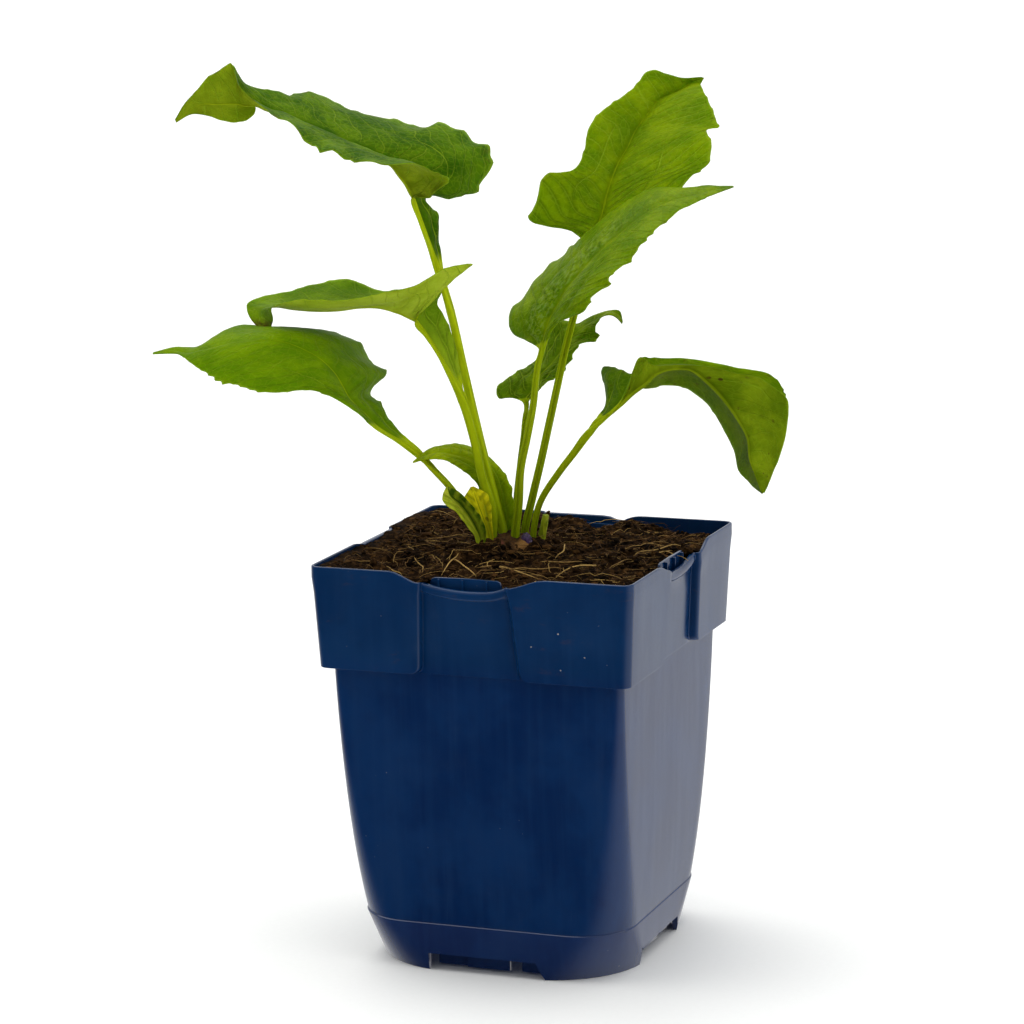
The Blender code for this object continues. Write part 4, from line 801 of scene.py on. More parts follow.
def build_leaf(leaf):
    """The blade with its relief and the stalk, in one closed piece."""
    columns, across, half, radius, share, along = leaf_surface(leaf)
    look = leaf.look
    rows, count = columns.shape[:2]
    up = upward(columns)
    radius, share = radius[:, None], share[:, None]
    x = np.abs(across) * half
    y = np.repeat(along[:, None], count, axis=1)
    blade = smooth(share / 0.08) * smooth((half - 3.0) / 5.0)
    leafy = np.minimum(blade, 1.0)
    wobble = np.array([[noise.noise(Vector((a / WOBBLE_SIZE, b / WOBBLE_SIZE, look.seed)))
                        for a, b in zip(p, q)] for p, q in zip(across * half, y)])
    phase = (y - look.rake * x - 0.006 * x * x) / look.spacing + 0.9 * wobble
    nerve = nerve_gap(x, y, half, share)
    columns = columns + up * (blade * relief(look, x, y, across, nerve, phase, wobble))[:, :, None]
    above, below = depths(x, across, radius, share, leafy)
    points = np.concatenate([(columns + up * above[:, :, None]).reshape(-1, 3),
                             (columns - up * below[:, :, None]).reshape(-1, 3)])
    px, py = turned(points[:, 0], points[:, 1])
    points = np.stack([px, py, points[:, 2]], axis=1)
    faces = slab_faces(rows, count)
    indices = np.zeros(len(faces), int)
    indices[-(rows - 1) * (count - 1):] = 1
    piece = finish_piece(leaf.name + "_blade", points, faces.tolist(),
                         [leaf_material(leaf, False), leaf_material(leaf, True)], leaf.name,
                         indices=indices)
    for name, parts in (("vein", (x / radius, nerve, phase)), ("spot", (across * half, y, across * leafy)),
                        ("leafy", (leafy, across, across))):
        values = np.stack(parts, axis=-1).reshape(-1, 3)
        store(piece.data, name, np.concatenate([values, values]))


def vein_masks(net, look, flat, y, under):
    """Masks of the side veins, their net, the two long nerves and the midrib, and of the valleys at them."""
    rib, nerve, phase = net.split(net.attribute("vein"))
    away = net.times(net.math("ABSOLUTE", net.math("SUBTRACT", net.math("FRACT", phase), 0.5)), look.spacing)
    body = net.fade(rib, 1.2, 3.0)
    second = net.times(net.drop(away, 0.12, 0.5), body)
    third = net.times(net.drop(net.cells(flat, VEIN_NET, "DISTANCE_TO_EDGE"), 0.0, 0.09), body)
    main = net.drop(nerve, 0.15, 0.6)
    middle = net.drop(rib, *((0.3, 0.65) if under else (0.08, 0.32)))
    # valleys between the puckers: one mask for their bump and for the painted shade in them
    valley_and_shade = net.math("MAXIMUM", net.times(net.drop(away, 0.3, 2.0), body), net.drop(nerve, 0.3, 2.2))
    valley_and_shade = net.times(valley_and_shade, net.fade(y, *look.calm, 1.5 * look.furrow, 0.3 * look.furrow))
    return second, third, main, middle, valley_and_shade


def painted_sheen_patch(net, look, flat, y, side, colour):
    """A painted sheen band along the left half of the blade, with painted shade in its creases."""
    band = net.times(net.fade(side, -0.6, -0.4), net.fade(side, -0.12, 0.0, look.waxy, 0.0),
                     net.drop(y, 75.0, 105.0))
    crinkle = net.noise(net.stretch(flat, 1.0, 0.5, 0.0), 1.5, 3.0, 0.6)
    # painted sheen: a pale grey-green highlight on the crinkles of the band
    colour = net.over(colour, PAINTED_SHEEN_COLOUR, band, net.fade(crinkle, 0.5, 0.6))
    # painted shade in the band's creases
    return net.over(colour, SHADE, band, net.fade(crinkle, 0.38, 0.47, 1.6, 0.0))


def leaf_material(leaf, under):
    """The upper face and the margins have one material, the lower face a paler one."""
    look = leaf.look
    net = Paint(leaf.name + ("_under" if under else "_upper"), look.gloss + (0.12 if under else 0.0),
                Specular_IOR_Level=look.shine, Specular_Tint=(1.0, 1.0, 0.3), Subsurface_Weight=0.12,
                Subsurface_Scale=0.0025, Subsurface_Radius=(0.5, 1.0, 0.15))
    spot = net.attribute("spot")
    _, y, s = net.split(spot)
    leafy, side, _ = net.split(net.attribute("leafy"))
    flat = net.stretch(spot, 1.0, 1.0, 0.0)
    second, third, main, middle, valley_and_shade = vein_masks(net, look, flat, y, under)
    dark, light = (look.under_dark, look.under) if under else (look.dark, look.light)
    colour = net.blend(net.fade(net.noise(flat, 17.0, 4.0), 0.36, 0.64), dark, light)
    colour = net.over(colour, dark, net.fade(net.noise(flat, 2.6, 3.0, 0.6), 0.35, 0.75, 0.0, 0.4))
    if look.wing:
        colour = net.over(colour, look.under_dark, net.fade(y, 10.0, 55.0, look.wing, 0.0))
    # painted shade: one half of the blade darkened towards SHADE
    if look.split:
        shares = (0.0, look.split) if look.split > 0.0 else (-look.split, 0.0)
        colour = net.over(colour, SHADE, net.fade(side, -0.12, 0.12, *shares))
    # painted shade: the valleys between the puckers darkened, strongly on the upper face, slightly on the
    # lower
    colour = net.over(colour, tuple(0.65 * value for value in dark), valley_and_shade, 0.12 if under else 0.85)
    # painted sheen along the left half of the blade, with painted shade in its creases
    if look.waxy:
        colour = painted_sheen_patch(net, look, flat, y, side, colour)
    for mask, weight in ((third, 0.16), (second, look.veins), (main, look.veins + 0.2)):
        colour = net.over(colour, VEIN, mask, weight)
    streaks = net.noise(net.stretch(spot, 1.4, 0.05, 0.0), 1.0, 3.0)
    _, _, z = net.split(net.place())
    # painted shade: the stalk darker towards its foot and low down near the crown, over its own streaks
    lit = net.times(net.fade(streaks, 0.25, 0.65, 0.35, 1.0), net.fade(y, -115.0, -10.0, 0.75, 1.0),
                    net.fade(z, *STALK_SHADE, 0.45, 1.0))
    stalk = net.over(STALK_DARK, STALK, lit, look.stem)
    colour = net.over(colour, stalk, middle, net.fade(y, 0.0, 40.0, 1.0, look.midrib),
                      net.fade(y, 60.0, 130.0, 1.0, 0.5))
    narrow = net.times(net.fade(leafy, 0.1, 0.7, look.narrow, 0.0), net.drop(y, 60.0, 90.0))
    colour = net.over(colour, stalk, net.math("MAXIMUM", narrow, net.drop(y, -6.0, 6.0)))
    margin = net.math("ABSOLUTE", s)
    colour = net.over(colour, VEIN, net.fade(margin, 0.955, 0.995), 0.45)
    dry_from, dry_share = look.dry
    withering = net.times(net.fade(margin, 0.86, 1.0), net.fade(net.noise(flat, 7.0), 0.56, 0.66), dry_share)
    tip = net.times(net.fade(y, dry_from, dry_from + 5.0), net.fade(net.noise(flat, 3.0), 0.3, 0.6, 0.3, 1.0))
    colour = net.over(colour, BROWN, net.math("MAXIMUM", withering, tip))
    specks = net.drop(net.cells(net.stretch(flat, 1.0, 0.8, 1.0), 4.5), 0.06 + 0.25 * look.spots,
                      0.13 + 0.35 * look.spots)
    colour = net.over(colour, BROWN, specks, net.fade(net.noise(flat, 11.0, 2.0), 0.66 - look.spots, 0.7))
    hills = net.math("SUBTRACT", net.times(net.cells(flat, VEIN_NET, "SMOOTH_F1"), -0.5),
                     net.times(valley_and_shade, -0.3 if under else 0.55))
    lines = net.plus(net.times(second, 0.5), net.times(main, 0.7), net.times(third, 0.2))
    hills = net.plus(hills, net.times(lines, 1.2 if under else -0.5),
                     net.times(net.noise(flat, 0.9, 2.0), 0.25))
    height = net.mix(middle, hills, net.times(streaks, 0.6))
    net.put(Base_Color=colour, Normal=net.bump(height, 0.55 if under else 0.75, 0.85))
    return net.material


# Pot

def body_share(height):
    """0 at the collar, 1 at the ledge."""
    return min(max((COLLAR_BOTTOM - height) / (COLLAR_BOTTOM - LEDGE_HEIGHT), 0.0), 1.0)


def body_half(height):
    return SHOULDER_HALF - BODY_TAPER * (COLLAR_BOTTOM - height) - BODY_TUCK * body_share(height) ** 4.57


def body_corner(height):
    return COLLAR_CORNER + (LEDGE_CORNER - COLLAR_CORNER) * body_share(height) ** 1.6


def collar_face(height):
    return COLLAR_FOOT_HALF + (RIM_HALF - COLLAR_FOOT_HALF) * (height - COLLAR_BOTTOM) / COLLAR_DEPTH


def hand(quarter):
    """The panels of the right and the left side mirror those of the front and the back."""
    return 1 if quarter % 2 == 0 else -1


def rim_dip(along):
    """How far the rim lies below its corners at a place along a side."""
    along = abs(along)
    if along >= PANEL_HALF:
        return DIP_EDGE * smooth((DIP_START - along) / (DIP_START - PANEL_HALF))
    return DIP_MIDDLE - (DIP_MIDDLE - DIP_EDGE) * (along / PANEL_HALF) ** 2


def side_dip(place, quarter):
    """The front and the right side are dipped, the back has a small notch, the left side is straight."""
    if quarter < 2:
        return rim_dip(place)
    middle, depth, width = BACK_DIP
    return depth * hump(place - middle, width) if quarter == 2 else 0.0


def spaced(place, straight, full):
    """Where a place of the rim's side lies on a side with a shorter straight part."""
    kept = PANEL_REACH * min(1.0, straight / PANEL_KEEPS)
    away = abs(place)
    if away < PANEL_REACH:
        return place * kept / PANEL_REACH
    return math.copysign(kept + (away - PANEL_REACH) * (straight - kept) / (full - PANEL_REACH), place)


def pot_ring(half, height, corner, recess=0, dip=0, bead=0, widen=(0, 0)):
    """One ring of the pot: four sides with their panels, and four round corners."""
    straight = half - corner
    full = RIM_HALF - COLLAR_CORNER
    ring = []
    for quarter in range(4):
        left, right = widen[::hand(quarter)]
        side = []
        for place in (*(-p for p in SIDE_PLACES), 0.0, *reversed(SIDE_PLACES)):
            near = max(0.0, 1.0 - abs(abs(place) - PANEL_HALF) / EDGE_REACH)
            spot = place + (right if place > 0.0 else -left) * near
            inside = min(max((PANEL_HALF + 1.3 - abs(place)) / 2.0, 0.0), 1.0)
            sharp = place * hand(quarter) < 0.0
            inside = 1.0 - math.sqrt(1.0 - inside ** 2) if sharp else float(smooth(inside))
            crease = CREASE * hump(PANEL_HALF - 1.5 - abs(place), 0.8) * min(recess, 1.0)
            side.append((spaced(spot, straight, full), -(half - (recess - bead) * inside - crease),
                         height - dip * side_dip(place, quarter)))
        for step in range(CORNER_STEPS + 1):
            angle = math.radians(-90.0 + 90.0 * step / CORNER_STEPS)
            side.append((straight + corner * math.cos(angle), -straight + corner * math.sin(angle), height))
        ring += [(*turned(x, y, quarter * math.pi / 2.0), z) for x, y, z in side]
    return ring


def rounded(profile):
    """Each corner of the profile with a radius becomes a short curve."""
    rows = []
    for i, (*values, radius) in enumerate(profile):
        here = np.array(values)
        if radius == 0.0:
            rows.append(here)
            continue
        before, after = np.array(profile[i - 1][:-1]), np.array(profile[i + 1][:-1])
        start = here + (before - here) * min(radius / np.linalg.norm((before - here)[:2]), 0.5)
        end = here + (after - here) * min(radius / np.linalg.norm((after - here)[:2]), 0.5)
        for t in (0.0, 0.25, 0.5, 0.75, 1.0):
            rows.append((1 - t) ** 2 * start + 2 * t * (1 - t) * here + t * t * end)
    return rows


def ring_faces(rows, count, closed=True):
    """Quads between rings of equal length."""
    index = np.arange(rows * count).reshape(rows, count)
    if closed:
        index = np.concatenate([index, index[:, :1]], axis=1)
    a, b, c, d = index[:-1, :-1], index[:-1, 1:], index[1:, 1:], index[1:, :-1]
    return np.stack([a, b, c, d], axis=-1).reshape(-1, 4).tolist()


def capped(rows, count, first=0):
    """Quads between closed rings and a face over each end, counted from the point called first."""
    faces = ring_faces(rows, count)
    faces += [list(range(count))[::-1], [(rows - 1) * count + i for i in range(count)]]
    return [[first + i for i in face] for face in faces]


def lean(height):
    """How far the panel's two edges have opened at a height, left and right."""
    up = max(height - COLLAR_BOTTOM, 0.0)
    down = max(PANEL_ROUND - up, 0.0)
    corner = PANEL_ROUND - math.sqrt(PANEL_ROUND ** 2 - down ** 2)
    share = min(up / COLLAR_DEPTH, 1.0)
    return tuple(foot + (top - foot) * share + corner for top, foot in zip(PANEL_TOP, PANEL_FOOT))


def pot_profile():
    """The rows all round the section: under the floor, outside, over the rim and down inside."""
    floor = Row(FOOT_HALF - 2.0, FLOOR_HEIGHT, FOOT_CORNER - 2.0)
    rows = [floor._replace(height=FLOOR_HEIGHT - FLOOR_THICK),
            Row(FOOT_HALF - 1.7, 0.0, FOOT_CORNER - WALL),
            Row(FOOT_HALF, 0.0, FOOT_CORNER, soft=0.3),
            Row(LEDGE_HALF, LEDGE_HEIGHT - LEDGE_STEP, LEDGE_CORNER, soft=0.15),
            Row(body_half(LEDGE_HEIGHT), LEDGE_HEIGHT, LEDGE_CORNER)]
    rows += [Row(body_half(height), height, body_corner(height)) for height in BODY_ROWS]
    rows += [Row(SHOULDER_HALF, COLLAR_BOTTOM, COLLAR_CORNER, soft=0.7),
             Row(COLLAR_FOOT_HALF, COLLAR_BOTTOM, COLLAR_CORNER, PANEL_RECESS, soft=0.6)]
    for up in COLLAR_ROWS:
        half = COLLAR_FOOT_HALF + (RIM_HALF - COLLAR_FOOT_HALF) * up / COLLAR_DEPTH
        rows.append(Row(half, COLLAR_BOTTOM + up, COLLAR_CORNER, PANEL_RECESS, up / 60.0 if up > 12.0 else 0))
    for down, bead in BEAD_ROWS:
        rows.append(Row(RIM_HALF, POT_HEIGHT - down, COLLAR_CORNER, PANEL_RECESS, 1, bead * BEAD))
    inner = COLLAR_CORNER - WALL
    rows += [Row(RIM_HALF, POT_HEIGHT, COLLAR_CORNER, PANEL_RECESS, 1, 0.7 * BEAD, 0.6),
             Row(RIM_HALF - WALL, POT_HEIGHT, inner, PANEL_RECESS, 1, soft=0.45),
             Row(RIM_HALF - WALL - 0.1, POT_HEIGHT - 4.0, inner, PANEL_RECESS, 1),
             Row(COLLAR_FOOT_HALF - WALL, COLLAR_BOTTOM + WALL, inner, PANEL_RECESS),
             Row(SHOULDER_HALF - WALL, COLLAR_BOTTOM + WALL, inner)]
    rows += [Row(body_half(height) - WALL, height, body_corner(height) - WALL) for height in BODY_ROWS[::-3]]
    return rounded(rows + [floor])


def build_pot():
    rings = [pot_ring(*row, lean(row[1])) for row in pot_profile()]
    plastic = plastic_material()
    pot = finish_piece("pot_shell", np.concatenate(rings), capped(len(rings), len(rings[0])), [plastic],
                       "pot", False)
    cutters = []
    long_half, short_half = DRAIN_HALF
    notch = [(NOTCH_LEFT, -LIP), (NOTCH_RIGHT[0], -LIP), (NOTCH_RIGHT[1], NOTCH_HEIGHT),
             (NOTCH_LEFT, NOTCH_HEIGHT)]
    drain = oblong(-long_half, long_half, FLOOR_HEIGHT - FLOOR_THICK - LIP, FLOOR_HEIGHT + LIP)
    for quarter in range(4):
        cutters.append(block(notch, -RIM_HALF, -FOOT_HALF + NOTCH_REACH, quarter))
        cutters.append(block(drain, -DRAIN_REACH - short_half, -DRAIN_REACH + short_half, quarter))
    carve(pot, cutters)
    pot.data.shade_smooth()
    pot.data.set_sharp_from_angle(angle=math.radians(38.0))
    for quarter in range(4):
        build_fittings(quarter, plastic)
    build_specks()


def build_fittings(quarter, plastic):
    """The label pocket behind one panel, with its ribs and ends, and the blocks in one side's foot notch."""
    low, high = POT_HEIGHT - POCKET_BOTTOM - WALL, POT_HEIGHT - POCKET_TOP
    centre = POCKET_MIDDLE * hand(quarter)
    left, right = centre - POCKET_HALF, centre + POCKET_HALF
    front = RIM_HALF - PANEL_RECESS - WALL - POCKET_SLOT
    sunk = -collar_face(low) + PANEL_RECESS + 0.5
    plate = [(left, low), (right, low)]
    plate += [(right - inward, high - down) for inward, down in PLATE_CORNER]
    plate += [(centre, high + 0.15)]
    plate += [(left + inward, high - down) for inward, down in PLATE_CORNER[::-1]]
    parts = [block(plate, -front, -front + WALL, quarter, 0.28),
             block(oblong(left, right, low, low + WALL), sunk, -front, quarter)]
    below, above = RIB_HALF
    for middle in [place * hand(quarter) for place in POCKET_RIBS]:
        rib = [(middle - below, low), (middle + below, low), (middle + above, high - 0.4),
               (middle - above, high - 0.4)]
        parts.append(block(rib, -front - RIB_DEPTH, -front + 0.1, quarter, 0.2))
    top = POT_HEIGHT - POCKET_END_TOP
    for outer, inner in ((left, left + WALL), (right, right - WALL)):
        end = [(inner, low), (outer, low), (outer, top), (inner, top - 0.8)]
        parts.append(block(end, sunk, -front + 0.2, quarter))
    for (start, end), inset in SKIRT:
        face = inset - FOOT_HALF
        skirt = oblong(start, end, SKIRT_CLEAR, FLOOR_HEIGHT - 0.4)
        parts.append(block(skirt, face, face + SKIRT_THICK, quarter, 0.25))
    made = joined("pot_fittings_%d" % quarter, parts)
    made.data.materials.append(plastic)
    settle(made, "pot")


def oblong(left, right, low, high):
    return [(left, low), (right, low), (right, high), (left, high)]


def block(outline, near, far, quarter, soft=0.0):
    """A slab of an outline seen from the front, from depth near to depth far, turned to one of the sides."""
    work = bmesh.new()
    front = [work.verts.new((x * MM, near * MM, z * MM)) for x, z in outline]
    back = [work.verts.new((x * MM, far * MM, z * MM)) for x, z in outline]
    work.faces.new(front)
    work.faces.new(back[::-1])
    for i in range(len(outline)):
        j = (i + 1) % len(outline)
        work.faces.new((front[j], front[i], back[i], back[j]))
    bmesh.ops.recalc_face_normals(work, faces=work.faces)
    if soft:
        bmesh.ops.bevel(work, geom=list(work.edges), offset=soft * MM, segments=2, profile=0.6,
                        affect="EDGES")
    work.transform(Matrix.Rotation(quarter * math.pi / 2.0, 4, "Z"))
    mesh = bpy.data.meshes.new("block")
    work.to_mesh(mesh)
    work.free()
    return placed("block", mesh)


def joined(name, parts):
    """Several objects become one, with no faces smoothed across sharp edges."""
    work = bmesh.new()
    for part in parts:
        work.from_mesh(part.data)
        bpy.data.objects.remove(part, do_unlink=True)
    mesh = bpy.data.meshes.new(name)
    work.to_mesh(mesh)
    work.free()
    mesh.shade_smooth()
    mesh.set_sharp_from_angle(angle=math.radians(35.0))
    return placed(name, mesh)


def carve(obj, cutters):
    for cutter in cutters:
        modifier = obj.modifiers.new("cut", "BOOLEAN")
        modifier.operation = "DIFFERENCE"
        modifier.object = cutter
        modifier.solver = "EXACT"
    bpy.context.view_layer.update()
    done = bpy.data.meshes.new_from_object(obj.evaluated_get(bpy.context.evaluated_depsgraph_get()))
    obj.modifiers.clear()
    obj.data = done
    for cutter in cutters:
        bpy.data.objects.remove(cutter, do_unlink=True)


def build_specks():
    """Dried splashes of water and compost on the collar."""
    draw = random.Random(41)
    points, faces = [], []
    sides = 7
    for (x, z), size in SPECKS:
        y = -collar_face(z)
        first = len(points)
        points.append((x, y - 0.22 * size, z))
        for k in range(sides):
            angle = math.tau * k / sides
            reach = size * draw.uniform(0.7, 1.1)
            points.append((x + reach * math.cos(angle), y + 0.05, z + reach * 0.8 * math.sin(angle)))
        faces += [(first, first + 1 + (k + 1) % sides, first + 1 + k) for k in range(sides)]
    net = Paint("dried_splash", 0.8)
    colour = net.blend(net.fade(net.noise(net.place(), 0.8), 0.35, 0.65), (0.45, 0.42, 0.4), (0.2, 0.19, 0.2))
    net.put(Base_Color=colour, Normal=net.bump(net.noise(net.place(), 0.4), 0.1))
    finish_piece("pot_splashes", points, faces, [net.material], "pot")


def plastic_material():
    """Navy polypropylene: satin, with flow marks, fine scratches, dust and a few scuffs."""
    net = Paint("nursery_pot_navy", IOR=1.43)
    place = net.place()
    x, y, z = net.split(place)
    run = net.add("ShaderNodeCombineXYZ", {0: net.plus(x, y), 2: z})
    clouds = net.noise(place, 38.0, 4.0)
    flow = net.noise(net.stretch(place, 1.0, 1.0, 0.03), 4.0)
    scratch = net.times(net.fade(net.noise(net.stretch(run, 1.0, 1.0, 0.012), 0.8, 2.0), 0.62, 0.72),
                        net.fade(net.noise(place, 14.0), 0.45, 0.7))
    high = net.fade(z, COLLAR_BOTTOM - 4.0, COLLAR_BOTTOM + 8.0)
    foot = net.fade(z, LEDGE_HEIGHT + 1.5, LEDGE_HEIGHT - 1.0)
    dusty = net.times(net.fade(net.noise(place, 24.0, 5.0, 0.65), 0.55, 0.8),
                      net.fade(z, 200.0, 90.0, 0.09, 0.04))
    smudge = net.fade(net.noise(net.stretch(place, 0.55, 0.55, 1.3), 9.0, 4.0, 0.7), 0.6, 0.8)
    specks = net.times(net.drop(net.cells(place, 7.0), 0.035, 0.06),
                       net.fade(net.noise(place, 21.0), 0.55, 0.65))
    colour = net.blend(net.fade(clouds, 0.35, 0.65), (0.0004, 0.016, 0.078), (0.0012, 0.025, 0.104))
    for tint, *masks in (((0.004, 0.034, 0.12), net.fade(flow, 0.4, 0.75, 0.0, 0.3)),
                         ((0.05, 0.09, 0.16), scratch, 0.08),
                         ((0.003, 0.036, 0.1), high, 0.3),
                         ((0.022, 0.03, 0.1), foot, 0.3),
                         ((0.05, 0.075, 0.11), dusty),
                         ((0.06, 0.035, 0.04), smudge, high, 0.35),
                         ((0.16, 0.17, 0.2), specks, 0.5)):
        colour = net.over(colour, tint, *masks)
    rough = net.plus(net.times(clouds, 0.1), net.times(net.noise(place, 7.0), 0.08), net.times(dusty, 0.8),
                     net.times(flow, 0.12), 0.03)
    height = net.plus(net.times(net.noise(place, 5.0, 1.0), 0.1),
                      net.times(net.noise(net.stretch(run, 1.0, 1.0, 0.02), 7.0, 2.0), 0.7),
                      net.times(net.noise(net.stretch(place, 1.0, 1.0, 0.25), 26.0, 2.0), 5.0),
                      net.times(scratch, -0.08))
    net.put(Base_Color=colour, Roughness=rough, Normal=net.bump(height, 0.06))
    return net.material


# Compost

def waves(seed, count, reach):
    """A smooth bumpy function of x and y."""
    draw = random.Random(seed)
    made = []
    for _ in range(count):
        angle = draw.uniform(0.0, math.tau)
        length = draw.uniform(0.35, 1.0) * reach
        made.append((math.cos(angle) * math.tau / length, math.sin(angle) * math.tau / length,
                     draw.uniform(0.0, math.tau)))

    def bump(x, y):
        return sum(math.sin(a * x + b * y + c) for a, b, c in made) / math.sqrt(count)
    return bump


SOIL_BUMP = waves(SOIL_SEED, 9, 46.0)


def soil_height(x, y):
    """Height of the solid compost at a place in the pot's frame."""
    plant_x, plant_y = turned(x, y, -PLANT_TURN)
    away = math.hypot(plant_x - CROWN_CENTRE[0], plant_y - CROWN_CENTRE[1])
    mound = SOIL_MOUND * hump(away, 38.0)
    back = SOIL_BACK_RISE * plant_y / RIM_HALF
    edge = max(abs(x), abs(y)) / RIM_HALF
    calm = (1.0 - 0.6 * float(smooth((edge - 0.8) / 0.2))) * float(smooth((away - 14.0) / 10.0))
    return SOIL_WALL_HEIGHT + mound + back + calm * SOIL_ROUGHNESS * SOIL_BUMP(x, y)


def crumbly(x, y):
    """Height of the crumbly surface: the solid's, with clods, crumbs and pits of several sizes."""
    spot = Vector((x, y, 0.0))
    clods = noise.noise(spot / CLODS[0]) * CLODS[1]
    lumps = (0.5 - noise.voronoi(spot / LUMPS[0])[0][0]) * LUMPS[1]
    crumbs = noise.noise(spot / CRUMBLE[0] + Vector((9.0, 0.0, 4.0))) * CRUMBLE[1]
    fine = noise.noise(spot / GRIT[0] + Vector((3.0, 7.0, 1.0))) * GRIT[1]
    edge = max(abs(x), abs(y)) / RIM_HALF
    at_wall = float(smooth((-x - 52.0) / 18.0))
    calm = (1.0 - 0.45 * float(smooth((edge - 0.9) / 0.1))) * (1.0 - 0.75 * at_wall)
    bank = LEFT_BANK * at_wall * float(smooth((66.0 - y) / 20.0)) * float(smooth((y + 76.0) / 8.0))
    trough = BACK_FALL * float(smooth((x - 32.0) / 20.0)) - BACK_BANK * float(smooth((42.0 - x) / 20.0))
    trough = float(smooth((y - 44.0) / 22.0)) * (trough + BACK_HOLLOW * hump(x - 11.0, 8.0))
    px, py = turned(x, y, -PLANT_TURN)
    foot_x, foot_y, _ = FOLDED_BASE.stalk[0]
    mound = CROWN_MOUND * hump(math.hypot(px - CROWN_CENTRE[0], py - CROWN_CENTRE[1]), 20.0)
    mound += FOLDED_MOUND * hump(math.hypot(px - foot_x, py - foot_y), 6.5)
    hollow = FRONT_HOLLOW * hump(math.hypot((px - 2.0) / 1.5, py + 19.0), 8.0)
    return soil_height(x, y) - 0.5 + bank - trough + mound - hollow + (clods + lumps + crumbs + fine) * calm


def soil_limit(along, quarter):
    """How far out the compost's surface reaches at a place along one of the sides."""
    local = along * hand(quarter) * (1 if quarter < 2 else -1)
    if quarter < 3 and abs(local - POCKET_MIDDLE) < POCKET_HALF + 0.2:
        return RIM_HALF - PANEL_RECESS - WALL - POCKET_SLOT - WALL + 0.5
    if -PANEL_HALF - PANEL_TOP[0] < local < PANEL_HALF + PANEL_TOP[1]:
        return RIM_HALF - PANEL_RECESS - WALL + 0.35
    return RIM_HALF - WALL + 0.2


def beyond(x, y, margin):
    """Whether a place lies nearer the pot's wall than the margin."""
    return (abs(x) > soil_limit(y, 1 if x > 0.0 else 3) - margin
            or abs(y) > soil_limit(x, 2 if y > 0.0 else 0) - margin)


def build_compost():
    soil = compost_material()
    build_surface(soil)
    build_fill(soil)
    build_crumbs(soil)
    build_fibres()


def build_surface(soil):
    """The crumbly top, drawn in to the pot's wall, to the pockets and to the round corners."""
    reach = RIM_HALF - WALL + 0.2
    count = int(2.0 * reach / SOIL_STEP)
    line = np.linspace(-reach, reach, count + 1)
    points = []
    for y in line:
        for x in line:
            px = max(min(x, soil_limit(y, 1)), -soil_limit(y, 3))
            py = max(min(y, soil_limit(x, 2)), -soil_limit(x, 0))
            over = math.hypot(*(max(abs(p) - reach + SOIL_CORNER, 0.0) for p in (px, py)))
            if over > SOIL_CORNER:
                px -= math.copysign((over - SOIL_CORNER) * 0.7, px)
                py -= math.copysign((over - SOIL_CORNER) * 0.7, py)
            jog_x, jog_y = (0.35 * noise.noise(Vector((x * 0.9, y * 0.9, level))) for level in (5.0, 25.0))
            inside = 1.0 if max(abs(x), abs(y)) < reach - 3.0 else 0.0
            points.append((px + jog_x * inside, py + jog_y * inside, crumbly(px, py)))
    faces = ring_faces(count + 1, count + 1, closed=False)
    top = finish_piece("compost_surface", points, faces, [soil], "soil", closed=False)
    store(top.data, "tint", [(0.5, 0.0, 0.0)] * len(points))


def build_fill(soil):
    """The compost under its top, a little clear of the pot's wall."""
    rings = [pot_ring(FOOT_HALF - 2.6, FLOOR_HEIGHT + 0.3, FOOT_CORNER - 2.0)]
    for height in (LEDGE_HEIGHT,) + BODY_ROWS[::4]:
        rings.append(pot_ring(body_half(height) - WALL - 0.3, height, body_corner(height) - WALL))
    for half, height in ((SHOULDER_HALF - WALL - 0.3, COLLAR_BOTTOM + 1.6),
                         (SHOULDER_HALF - WALL - 0.3, POT_HEIGHT - POCKET_BOTTOM - 2.0),
                         (RIM_HALF - 8.5, SOIL_WALL_HEIGHT - 4.5)):
        rings.append(pot_ring(half, height, 3.7))
    fill = finish_piece("compost_fill", np.concatenate(rings), capped(len(rings), len(rings[0])), [soil],
                        "soil", False)
    store(fill.data, "tint", [(0.4, 0.0, 0.0)] * len(fill.data.vertices))


def open_ground(draw, margin=2.0):
    """A random place on the compost, clear of the crown and of the pockets."""
    while True:
        x, y = (draw.uniform(-RIM_HALF, RIM_HALF) for _ in range(2))
        if beyond(x, y, margin + (3.0 if x < LEFT_BAND else 0.0)):
            continue
        away = [(p - c) / half for p, c, half in zip(turned(x, y, -PLANT_TURN), CROWN_CENTRE, CROWN_HALF)]
        if math.hypot(*away) > CROWN_BARE:
            return x, y


